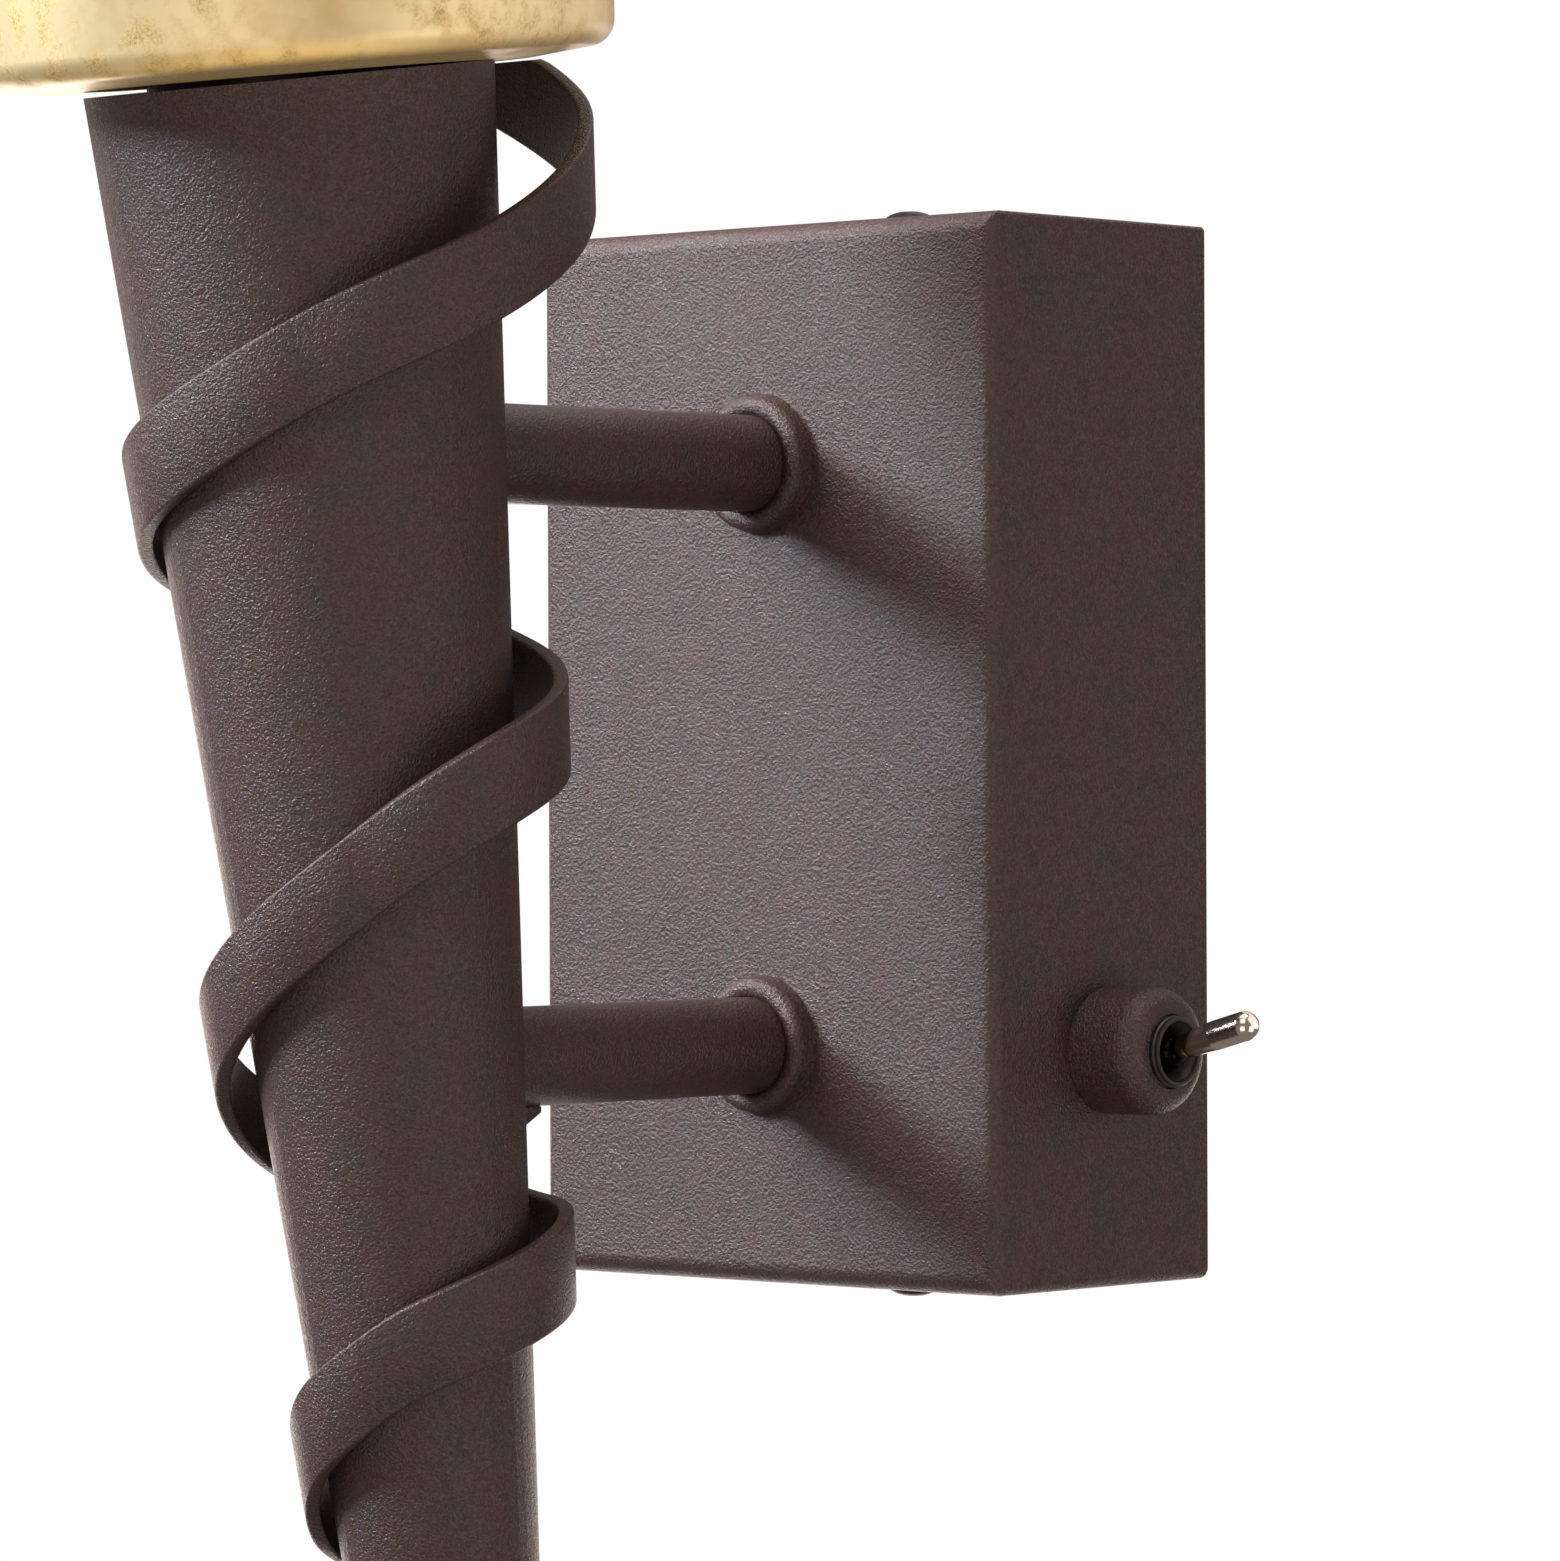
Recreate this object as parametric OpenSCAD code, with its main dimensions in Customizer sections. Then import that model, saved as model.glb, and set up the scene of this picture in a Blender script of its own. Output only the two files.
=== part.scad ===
// Torch sconce: a leaning sheet-metal torch with a spiral ribbon and a gilded bowl,
// carried by two tube arms on a wall box with a toggle switch in its side.
// Origin: centre of the wall plane behind the box. +Z up, +Y into the wall, +X to the switch side.
// All sizes in millimetres, angles in degrees.

/* [Wall box] */
// Width of the box cover
cover_w = 100; // [90:1:130]
// Height of the box cover
cover_h = 175; // [160:1:230]
// Depth of the box cover, from the wall to its front face
cover_d = 55; // [50:1:75]
// Sheet thickness of the box cover
cover_wall = 1.5; // [1.2:0.1:2.2]
// Outer radius of the folds along the front face's top and bottom
cover_fold_r = 3.4; // [2.2:0.1:5]
// Outer radius of the front face's upright edges
cover_side_r = 2.3; // [2:0.1:4]
// Radius of the dressed upper seams, from front to wall
cover_seam_r = 1; // [0.5:0.1:1.5]
// Radius of the dressed lower seams, from front to wall
cover_low_seam_r = 2; // [0.5:0.1:3]
// Gap between the cover and the bracket flanges inside it
cover_gap = 0.4; // [0.2:0.1:1]
// Distance of the cover screws behind the front face
cover_screw_back = 38; // [34:1:42]

/* [Wall bracket] */
// Width of the bracket plate
bracket_w = 64; // [56:1:80]
// Sheet thickness of the bracket
bracket_t = 2; // [1.5:0.1:3]
// Width of the two flanges that take the cover screws
flange_w = 36; // [24:1:50]
// Centre distance of the two wall screw slots
slot_spacing = 120; // [110:1:130]
// Width of the wall screw slots
slot_w = 5; // [4:0.1:6]
// Length of the wall screw slots, end to end
slot_l = 12; // [9:0.5:16]
// Bore of the rubber grommet for the supply cable
grommet_bore = 8; // [6:0.5:9]

/* [Arms] */
// Outer diameter of the arm tubes
arm_d = 16; // [14:0.5:18]
// Wall of the arm tubes
arm_wall = 1.5; // [1:0.1:2]
// Vertical distance between the two arms
arm_spacing = 96; // [90:1:104]
// Distance from the box's front face to the torch axis at mid height
reach = 93.4; // [85:0.1:115]
// Height of the rounded weld rings where the arms meet the box
ring_bead = 3.6; // [2.4:0.1:4]
// Width of the weld rings on the box's face
ring_foot = 3.6; // [3:0.1:4.5]
// Length of the small gusset under the lower arm, along the arm
gusset_l = 11; // [8:0.5:14]
// Thickness of the gusset
gusset_t = 3; // [2:0.5:4]

/* [Torch] */
// Lean of the torch away from the wall
lean = 7.9; // [6:0.1:9]
// Outer diameter of the torch at mid height of the box
torch_mid_d = 48.8; // [46:0.2:52]
// Taper of the torch, between its side and its axis
torch_taper = 4.0; // [3.8:0.1:4.2]
// Length of the torch above mid height
torch_up = 105.4; // [100:0.1:108]
// Length of the torch below mid height
torch_down = 255; // [235:1:260]
// Sheet thickness of the torch
torch_wall = 1.5; // [1:0.1:2]
// Thickness of the plate that closes the torch's top
cap_t = 2; // [1.5:0.1:3]

/* [Spiral ribbon] */
// Height of the ribbon, measured along the torch
strip_h = 15; // [12:0.5:17]
// Thickness of the ribbon
strip_t = 2.5; // [1.5:0.1:3]
// Rounding of the ribbon's long edges
strip_edge = 0.4; // [0.2:0.1:0.5]

/* [Bowl] */
// Outer diameter of the bowl where its side leaves the bottom corner
bowl_d = 101.4; // [92:0.2:112]
// Height of the bowl
bowl_h = 76; // [74:1:90]
// Sheet thickness of the bowl
bowl_wall = 1.2; // [0.8:0.1:1.6]
// Outer radius of the bowl's bottom corner
bowl_corner_r = 4.2; // [3:0.2:14]
// Outward flare of the bowl's side
bowl_flare = 4; // [0:0.5:8]
// How much more upright the bowl stands than the torch
bowl_tip = 1.3; // [0:0.1:1.6]
// Diameter of the neck between torch and bowl
neck_d = 44; // [36:1:50]
// Height of the neck on its axis
neck_h = 1.3; // [1.2:0.1:3]

/* [Lampholder] */
// Outer diameter of the threaded tube
tube_d = 10; // [9.6:0.1:10]
// Bore of the threaded tube
tube_bore = 7; // [6:0.5:7.5]
// Diameter of the ceramic lampholder
holder_d = 21; // [19:0.5:22]
// Height of the ceramic lampholder above its flange
holder_h = 14; // [12:0.5:15]
// Diameter of the bulb's glass
bulb_d = 18; // [14:0.5:20]
// Length of the bulb's glass
bulb_l = 38; // [32:1:40]

/* [Switch] */
// Height of the switch below the middle of the box
switch_drop = 48.5; // [44:0.5:52]
// Distance of the switch behind the front face
switch_back = 29; // [27:0.5:31]
// Diameter of the round boss that holds the switch
boss_d = 21; // [19:0.5:23]
// Height of the boss
boss_h = 13.5; // [10:0.5:14]
// Rounding of the boss's front edge
boss_round = 3.5; // [2:0.5:4]
// Diameter of the switch's threaded bushing
bushing_d = 12; // [11.6:0.1:12.4]
// How far the bushing stands out of the boss
bushing_proud = 1.5; // [1:0.1:2]
// Diameter of the toggle lever
lever_d = 5; // [4:0.1:5.2]
// Length of the toggle lever from its pivot
lever_l = 19; // [17:0.5:22]
// Angle of the lever above or below straight
lever_throw = 15.5; // [12:0.5:16]

/* [Hidden] */
$fn = 64;

// Finish colours
bronze = "#4a3d3a";
bronze_dark = "#2c2423";
gold = "#d9bd80";
steel = "#a9abad";
brass = "#c9a357";
black = "#1d1d1e";

// Wall box and what it holds
eps = 0.01;
least_inner_r = 0.3;
front_y = -cover_d;
inner_front_y = front_y + cover_wall;
screw_y = front_y + cover_screw_back;
flange_z = cover_h / 2 - cover_wall - cover_gap;
flange_end_y = screw_y - 9;
cover_screw_d = 5;
cover_screw_l = 10;
cover_head_d = 9.6;
cover_head_h = 3.4;
washer_t = 0.9;
screw_clear = 0.25;
flange_nut_d = 9;
flange_nut_t = 4;
grommet_at = [0, 28];
grommet_hole_d = grommet_bore + 4;
grommet_rim = 2;

// Arms
arm_r = arm_d / 2;
// How far a weld ring's outer side leans in from its foot
ring_batter = 0.4;
arm_zs = [arm_spacing / 2, -arm_spacing / 2];
arm_inner_y = inner_front_y + 3;
arm_hole_clear = 0.1;
lead_hole_d = arm_d - 2 * arm_wall - 3;

// Torch, in its own frame: z runs up its leaning axis from mid height of the box
torch_y = front_y - reach;
function torch_r(s) = torch_mid_d / 2 + s * tan(torch_taper);
function torch_point(p) = [
    p[0],
    torch_y + p[1] * cos(lean) - p[2] * sin(lean),
    p[1] * sin(lean) + p[2] * cos(lean)
];
// Height along the torch where a level line at part height z meets its back side
function back_s(z) = (z - torch_mid_d / 2 * sin(lean)) / (cos(lean) + tan(torch_taper) * sin(lean));
function back_y(z) = torch_point([0, torch_r(back_s(z)), back_s(z)])[1];
tip_r = torch_r(-torch_down);

// The ribbon's bends from top to bottom, as set on the bench: angle round the torch (0 towards +X,
// 90 towards the wall), height of the ribbon's middle on the torch, and how far its inner face
// stands off the torch. Where that is 0 the ribbon bears on the torch and is welded to it.
strip_bends = [
    [114, 112, 11], [87, 101, 12.5], [60, 91, 13.5], [42, 85, 12], [-3, 73, 8],
    [-48, 63, 0], [-93, 52, 0.5], [-138, 42, 1.5], [-183, 31, 4.5], [-228, 20, 4],
    [-273, 10, 3], [-318, 3, 6], [-363, -3, 8], [-408, -16, 0], [-453, -29, 1.5],
    [-498, -44, 4.5], [-543, -61, 7], [-588, -73, 5], [-633, -80, 3.5], [-678, -82, 4.5],
    [-768, -91, 0], [-813, -101, 2.5], [-858, -114, 2], [-903, -124, 3.5], [-948, -133, 2.5],
    [-1038, -149, 0], [-1128, -166, 0], [-1218, -184, 0]
];
strip_step = 7.5;
strip_top_gap = 0.8;
weld_bite = 0.05;

// Bowl, in its own frame: z runs up the bowl's axis from the torch's top
bowl_r = bowl_d / 2;
floor_z = neck_h + bowl_wall;
bowl_hole_r = tube_d / 2 + 0.2;
bowl_washer_t = 1.5;
bowl_washer_d = 28;
foot_t = 1.2;
nut_t = 3.5;
nut_af = 14;
foot_z = floor_z + bowl_washer_t;
upper_nut_z = foot_z + foot_t;
tube_top_z = upper_nut_z + nut_t + 1;
lower_nut_z = -cap_t - nut_af / 2 / cos(30) * tan(bowl_tip) - eps - nut_t;
tube_bottom_z = lower_nut_z - 3;
leg_x = 15;
leg_w = 12;
leg_h = 10.5;
tab_z = foot_z + leg_h;
flange_l = 40;
holder_boss_h = 2;
// Where the lampholder's two screws stand, from its middle
holder_fix_x = flange_l / 2 - 2.6;
flange_t = 3.5;
holder_z = tab_z + foot_t;
holder_top_z = holder_z + flange_t + holder_h;
bulb_base_h = 5;
bulb_base_sink = 8;
bulb_z = holder_top_z + bulb_base_h;
bulb_glass_wall = 0.9;
pinch_w = 13;
pinch_t = 8.5;
slot_clear = 0.3;

// Switch
wall_x = cover_w / 2;
switch_y = front_y + switch_back;
switch_at = [wall_x, switch_y, -switch_drop];
bushing_r = bushing_d / 2;
bushing_out = boss_h + bushing_proud;
bushing_in = 5.5;
switch_nut_t = 2.5;
pivot_out = bushing_out - 2.5;
ball_r = 3.2;
ball_clear = 0.3;
pin_r = 0.7;
pin_clear = 0.05;
body_size = [18, 26, 17];
mouth_r = 4.9;
terminal_y = 8;
terminal_l = 6;
terminal_w = 5;

// Terminal block
block_w = 30;
block_h = 17;
block_t = 14;
block_at = [-14, -bracket_t, -4];
pole_pitch = 10;
pole_tube_d = 5;
pole_bore_d = 3.2;
pole_screw_d = 3;
pole_axis_h = 6.4;
block_foot_t = 4;
earth_at = [20, -30];

// Wiring
cable_d = 5;
core_d = 2;
earth_y = -bracket_t - core_d / 2 - 0.05;

// ---------------------------------------------------------------- frames and helpers

module torch_frame() {
    translate([0, torch_y, 0]) rotate([lean, 0, 0]) children();
}

module bowl_frame() {
    torch_frame() translate([0, 0, torch_up]) rotate([-bowl_tip, 0, 0]) children();
}

// x runs out of the box's side, z stays up
module switch_frame() {
    translate(switch_at) rotate([0, 90, 0]) children();
}

module ring(d_out, d_in, h) {
    difference() {
        cylinder(d = d_out, h = h);
        translate([0, 0, -1]) cylinder(d = d_in, h = h + 2);
    }
}

module hex(af, h) {
    cylinder(r = af / 2 / cos(30), h = h, $fn = 6);
}

module round_rect(w, h, r) {
    union() {
        square([w - 2 * r, h], center = true);
        square([w, h - 2 * r], center = true);
        for (x = [-1, 1], y = [-1, 1]) translate([x * (w / 2 - r), y * (h / 2 - r)]) circle(r = r);
    }
}

// A rectangle with one radius at its upper corners and another at its lower ones
module seam_rect(w, h, upper_r, lower_r) {
    union() {
        translate([-w / 2, lower_r - h / 2]) square([w, h - lower_r - upper_r]);
        translate([upper_r - w / 2, 0]) square([w - 2 * upper_r, h / 2]);
        translate([lower_r - w / 2, -h / 2]) square([w - 2 * lower_r, h / 2]);
        for (x = [-1, 1]) {
            translate([x * (w / 2 - upper_r), h / 2 - upper_r]) circle(r = upper_r);
            translate([x * (w / 2 - lower_r), lower_r - h / 2]) circle(r = lower_r);
        }
    }
}

// Profile of a folded box seen along one of its front edges: square at the wall, round at the front
module fold_profile(w, d, r) {
    union() {
        translate([-w / 2, r]) square([w, d - r]);
        translate([-w / 2 + r, 0]) square([w - 2 * r, d]);
        for (x = [-1, 1]) translate([x * (w / 2 - r), r]) circle(r = r);
    }
}

// The box from y = front to y = back, with its radii drawn in by the sheet's thickness or not at all
module folded_block(front, back, inset) {
    w = cover_w - 2 * inset;
    h = cover_h - 2 * inset;
    d = back - front;
    translate([0, front, 0]) intersection() {
        translate([0, d, 0]) rotate([90, 0, 0]) linear_extrude(d)
            seam_rect(w, h, drawn_in(cover_seam_r, inset), drawn_in(cover_low_seam_r, inset));
        translate([0, 0, -h / 2]) linear_extrude(h) fold_profile(w, d, drawn_in(cover_side_r, inset));
        translate([-w / 2, 0, 0]) rotate([0, 90, 0]) linear_extrude(w)
            fold_profile(h, d, drawn_in(cover_fold_r, inset));
    }
}

function drawn_in(r, inset) = max(r - inset, least_inner_r);

// Curves through points: the tangent at each is that of its two neighbours
function clamp_at(points, i) = points[min(max(i, 0), len(points) - 1)];
function curve_point(a, b, c, d, t) =
    0.5 * (2 * b + (c - a) * t + (2 * a - 5 * b + 4 * c - d) * t * t + (3 * b - a - 3 * c + d) * t * t * t);
function smooth_path(points, n) = concat(
    [for (i = [0 : len(points) - 2], k = [0 : n - 1])
        curve_point(clamp_at(points, i - 1), points[i], points[i + 1], clamp_at(points, i + 2), k / n)],
    [points[len(points) - 1]]
);

function unit(v) = v / norm(v);
function tangent(path, i) = unit(clamp_at(path, i + 1) - clamp_at(path, i - 1));
function carried(side, along) = unit(side - (side * along) * along);
// Side vectors along a path, each carried on from the one before without twist
function side_vectors(path, side, i = 0) = i == len(path) ? [] :
    let (now = carried(side, tangent(path, i))) concat([now], side_vectors(path, now, i + 1));

// A closed tube of flat-sided rings along a path
module swept_tube(path, d, sides = 8) {
    across = side_vectors(path, carried([0.1, 0.2, 1], tangent(path, 0)));
    rings = [for (i = [0 : len(path) - 1])
        let (u = across[i], v = cross(tangent(path, i), u))
        for (k = [0 : sides - 1]) path[i] + d / 2 * (cos(360 * k / sides) * u + sin(360 * k / sides) * v)];
    sweep_mesh(rings, len(path), sides);
}

// Closes rings of points into a solid. Each ring runs anticlockwise as seen from the path's end.
module sweep_mesh(points, count, sides) {
    last = (count - 1) * sides;
    skin = [for (i = [0 : count - 2], k = [0 : sides - 1])
        let (a = i * sides + k, b = i * sides + (k + 1) % sides)
        each [[a, b + sides, b], [a, a + sides, b + sides]]];
    start_cap = [for (k = [1 : sides - 2]) [0, k, k + 1]];
    end_cap = [for (k = [1 : sides - 2]) [last, last + k + 1, last + k]];
    polyhedron(points = points, faces = concat(skin, start_cap, end_cap), convexity = 12);
}

// ---------------------------------------------------------------- wall box

module wall_bracket() {
    color(steel) difference() {
        union() {
            translate([-bracket_w / 2, -bracket_t, -flange_z]) cube([bracket_w, bracket_t, 2 * flange_z]);
            for (side = [0, 1]) mirror([0, 0, side])
                translate([-flange_w / 2, flange_end_y, flange_z - bracket_t])
                    cube([flange_w, -flange_end_y, bracket_t]);
        }
        for (z = [-1, 1]) translate([0, 1, z * slot_spacing / 2]) wall_slot();
        translate([grommet_at[0], 1, grommet_at[1]]) rotate([90, 0, 0])
            cylinder(d = grommet_hole_d, h = bracket_t + 2);
        for (z = [-1, 1]) translate([0, screw_y, z * flange_z - (z + 1) / 2 * (bracket_t + 1) - (1 - z) / 2])
            cylinder(d = cover_screw_d + 2 * screw_clear, h = bracket_t + 2);
        translate([earth_at[0], 1, earth_at[1]]) rotate([90, 0, 0]) cylinder(d = 4, h = bracket_t + 2);
        translate([block_at[0], 1, block_at[2]]) rotate([90, 0, 0]) cylinder(d = 3, h = bracket_t + 2);
    }
}

module wall_slot() {
    rotate([90, 0, 0]) linear_extrude(bracket_t + 2) {
        square([slot_w, slot_l - slot_w], center = true);
        for (y = [-1, 1]) translate([0, y * (slot_l - slot_w) / 2]) circle(d = slot_w);
    }
}

// Weld nuts on the inner faces of the flanges, for the cover screws
module flange_nuts() {
    color(steel) for (side = [0, 1]) mirror([0, 0, side])
        translate([0, screw_y, flange_z - bracket_t - flange_nut_t])
            difference() {
                hex(flange_nut_d, flange_nut_t);
                translate([0, 0, -1]) cylinder(d = cover_screw_d, h = flange_nut_t + 2);
            }
}

module cable_grommet() {
    color(black) translate([grommet_at[0], 0, grommet_at[1]]) rotate([90, 0, 0]) difference() {
        union() {
            cylinder(d = grommet_hole_d, h = bracket_t);
            translate([0, 0, bracket_t]) cylinder(d = grommet_hole_d + 2 * grommet_rim, h = grommet_rim);
        }
        translate([0, 0, -1]) cylinder(d = grommet_bore, h = bracket_t + grommet_rim + 2);
    }
}

module wall_cover() {
    color(bronze) difference() {
        folded_block(front_y, 0, 0);
        folded_block(inner_front_y, 1, cover_wall);
        for (z = arm_zs) translate([0, inner_front_y + 1, z]) rotate([90, 0, 0])
            cylinder(d = arm_d + 2 * arm_hole_clear, h = cover_wall + 2);
        for (z = [-1, 1]) translate([0, screw_y, z * (cover_h / 2 - cover_wall / 2)])
            cylinder(d = cover_screw_d + 2 * screw_clear, h = cover_wall + 2, center = true);
        switch_frame() translate([0, 0, -cover_wall - 1])
            cylinder(d = bushing_d + 2 * arm_hole_clear, h = cover_wall + 2);
    }
}

// Pan-head screws through the cover's top and bottom into the flange nuts
module cover_screws() {
    color(black) for (side = [0, 1]) mirror([0, 0, side]) translate([0, screw_y, cover_h / 2 + washer_t]) {
        difference() {
            rotate_extrude() intersection() {
                square([cover_head_d / 2, cover_head_h]);
                union() {
                    square([cover_head_d / 2, 1]);
                    translate([0, 1]) scale([cover_head_d / 2 / 2.4, 1]) circle(r = 2.4, $fn = 48);
                }
            }
            translate([0, 0, cover_head_h - 1.6]) hex(3, 3);
        }
        translate([0, 0, -cover_screw_l]) cylinder(d = cover_screw_d, h = cover_screw_l);
    }
}

module cover_screw_washers() {
    color(black) for (side = [0, 1]) mirror([0, 0, side]) translate([0, screw_y, cover_h / 2])
        ring(cover_head_d + 0.4, cover_screw_d + 0.2, washer_t);
}

// ---------------------------------------------------------------- arms

// Solid that the arm ends are cut to: the torch's outer shape
module torch_outline() {
    torch_frame() translate([0, 0, -torch_down])
        cylinder(r1 = tip_r, r2 = torch_r(torch_up), h = torch_up + torch_down, $fn = 128);
}

module arm(z) {
    length = arm_inner_y - torch_y;
    color(bronze) difference() {
        translate([0, arm_inner_y, z]) rotate([90, 0, 0]) ring(arm_d, arm_d - 2 * arm_wall, length);
        torch_outline();
    }
}

module upper_arm() { arm(arm_zs[0]); }

module lower_arm() { arm(arm_zs[1]); }

// Dressed weld beads round the arms on the box's front face
module arm_weld_rings() {
    round_r = ring_bead / 2;
    crest_r = arm_r + ring_foot - ring_batter - round_r;
    color(bronze) for (z = arm_zs) translate([0, front_y, z]) rotate([90, 0, 0]) rotate_extrude()
        intersection() {
            translate([arm_r, 0]) square([ring_foot, ring_bead]);
            union() {
                translate([crest_r, round_r]) circle(r = round_r, $fn = 48);
                polygon([[arm_r, 0], [arm_r + ring_foot, 0], [crest_r + round_r, round_r],
                    [arm_r, ring_bead * 0.75]]);
            }
        }
}

module arm_gusset() {
    z = arm_zs[1] - arm_r;
    y = back_y(z);
    drop = gusset_l * 0.55;
    foot = back_y(z - drop);
    color(bronze) difference() {
        translate([-gusset_t / 2, 0, 0]) rotate([90, 0, 90]) linear_extrude(gusset_t)
            polygon([[foot - 2, z - drop], [foot + 1.5, z - drop], [y + gusset_l, z - 1],
                [y + gusset_l, z + 1], [foot - 2, z + 1]]);
        translate([0, arm_inner_y, arm_zs[1]]) rotate([90, 0, 0]) cylinder(d = arm_d, h = 200);
        torch_outline();
    }
}

// ---------------------------------------------------------------- torch

module torch_body() {
    color(bronze) difference() {
        torch_outline();
        torch_outline_inside();
        translate([0, 0, arm_zs[0]]) translate([0, back_y(arm_zs[0]) + 5, 0]) rotate([90, 0, 0])
            cylinder(d = lead_hole_d, h = 5 + torch_wall * 3);
    }
}

module torch_outline_inside() {
    torch_frame() translate([0, 0, -torch_down - 1])
        cylinder(r1 = torch_r(-torch_down - 1) - torch_wall, r2 = torch_r(torch_up + 1) - torch_wall,
            h = torch_up + torch_down + 2, $fn = 128);
}

// Turned point that closes the torch's lower end
module torch_tip() {
    plug = 8;
    color(bronze) torch_frame() translate([0, 0, -torch_down]) {
        cylinder(r1 = tip_r - torch_wall, r2 = torch_r(plug - torch_down) - torch_wall, h = plug);
        rotate([180, 0, 0]) rotate_extrude() intersection() {
            square([tip_r, 2 * tip_r]);
            scale([1, 1.4]) circle(r = tip_r);
        }
    }
}

module torch_cap() {
    color(bronze_dark) difference() {
        torch_frame() translate([0, 0, torch_up - cap_t])
            cylinder(r1 = torch_r(torch_up - cap_t) - torch_wall, r2 = torch_r(torch_up) - torch_wall,
                h = cap_t, $fn = 128);
        bowl_frame() translate([0, 0, -10]) cylinder(r = bowl_hole_r, h = 20);
    }
}

// ---------------------------------------------------------------- spiral ribbon

// Slope of column c of the bends at bend i, per degree
function bend_slope(c, i) =
    let (n = len(strip_bends) - 1, a = strip_bends[max(i - 1, 0)], b = strip_bends[min(i + 1, n)])
    (b[c] - a[c]) / (b[0] - a[0]);
function blend(t, y0, m0, y1, m1) =
    (2 * t * t * t - 3 * t * t + 1) * y0 + (t * t * t - 2 * t * t + t) * m0
    + (3 * t * t - 2 * t * t * t) * y1 + (t * t * t - t * t) * m1;
// Angle, height and stand-off at a share t of the way from bend i to the next
function strip_at(i, t) =
    let (a = strip_bends[i], b = strip_bends[i + 1], run = b[0] - a[0])
    [a[0] + run * t,
        for (c = [1, 2]) blend(t, a[c], bend_slope(c, i) * run, b[c], bend_slope(c, i + 1) * run)];
strip_run = [for (i = [0 : len(strip_bends) - 2])
    let (n = ceil(abs(strip_bends[i + 1][0] - strip_bends[i][0]) / strip_step))
    for (k = [0 : n - (i == len(strip_bends) - 2 ? 0 : 1)]) strip_at(i, k / n)];

// Section of the ribbon as [out, up] from the middle of its inner face, with eased long edges
strip_section = [
    [0, -strip_h / 2], [strip_t - strip_edge, -strip_h / 2], [strip_t, -strip_h / 2 + strip_edge],
    [strip_t, strip_h / 2 - strip_edge], [strip_t - strip_edge, strip_h / 2], [0, strip_h / 2]
];
function strip_point(bend, out, up) =
    let (s = bend[1] + up, r = torch_r(s) + max(bend[2], -weld_bite) + out)
    [r * cos(bend[0]), r * sin(bend[0]), s];

module spiral_ribbon() {
    rings = [for (i = [len(strip_run) - 1 : -1 : 0], q = strip_section)
        strip_point(strip_run[i], q[0], q[1])];
    color(bronze) torch_frame() {
        difference() {
            sweep_mesh(rings, len(strip_run), len(strip_section));
            translate([0, 0, torch_up - strip_top_gap]) cylinder(r = bowl_d, h = 2 * strip_h);
        }
    }
}

// ---------------------------------------------------------------- bowl

module bowl_neck() {
    color(black) difference() {
        bowl_frame() translate([0, 0, -2]) difference() {
            cylinder(d = neck_d, h = neck_h + 2);
            translate([0, 0, -1]) cylinder(r = bowl_hole_r, h = neck_h + 4);
        }
        torch_frame() translate([0, 0, torch_up - 10]) cylinder(d = neck_d + 20, h = 10);
    }
}

// Half of the bowl's outline, drawn in from its outer skin by a given amount
module bowl_outline(inset) {
    corner = bowl_corner_r - inset;
    middle = [bowl_r - bowl_corner_r, bowl_corner_r];
    touch = middle + corner * [cos(bowl_flare), -sin(bowl_flare)];
    rise = bowl_h + 1 - touch[1];
    union() {
        translate(middle) circle(r = corner, $fn = 96);
        polygon([[0, inset], [middle[0], inset], middle, touch,
            [touch[0] + rise * tan(bowl_flare), bowl_h + 1], [0, bowl_h + 1]]);
    }
}

module gold_bowl() {
    rim_x = bowl_r - bowl_corner_r + (bowl_corner_r - bowl_wall / 2) / cos(bowl_flare)
        + (bowl_h - bowl_wall / 2 - bowl_corner_r) * tan(bowl_flare);
    color(gold) bowl_frame() translate([0, 0, neck_h]) rotate_extrude($fn = 128) union() {
        difference() {
            intersection() {
                bowl_outline(0);
                translate([bowl_hole_r, -1]) square([bowl_r * 2, bowl_h - bowl_wall / 2 + 1]);
            }
            bowl_outline(bowl_wall);
        }
        translate([rim_x, bowl_h - bowl_wall / 2]) circle(d = bowl_wall, $fn = 32);
    }
}

module threaded_tube() {
    color(brass) bowl_frame() translate([0, 0, tube_bottom_z])
        ring(tube_d, tube_bore, tube_top_z - tube_bottom_z);
}

module tube_nuts() {
    color(brass) bowl_frame() for (z = [lower_nut_z, upper_nut_z]) translate([0, 0, z]) difference() {
        hex(nut_af, nut_t);
        translate([0, 0, -1]) cylinder(d = tube_d, h = nut_t + 2);
    }
}

module bowl_washer() {
    color(steel) bowl_frame() translate([0, 0, floor_z]) ring(bowl_washer_d, tube_d + 0.4, bowl_washer_t);
}

// Folded strap: a foot under the nut, two legs, and tabs that carry the lampholder
module lampholder_bracket() {
    color(steel) bowl_frame() difference() {
        union() {
            translate([-leg_x, -leg_w / 2, foot_z]) cube([2 * leg_x, leg_w, foot_t]);
            for (side = [0, 1]) mirror([side, 0, 0]) {
                translate([leg_x - foot_t, -leg_w / 2, foot_z]) cube([foot_t, leg_w, leg_h + foot_t]);
                translate([leg_x - foot_t, -leg_w / 2, tab_z])
                    cube([flange_l / 2 - leg_x + foot_t, leg_w, foot_t]);
            }
        }
        translate([0, 0, foot_z - 1]) cylinder(d = tube_d + 0.4, h = foot_t + 2);
        for (x = [-1, 1]) translate([x * holder_fix_x, 0, tab_z - 1]) cylinder(d = 2.5, h = foot_t + 2);
    }
}

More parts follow.
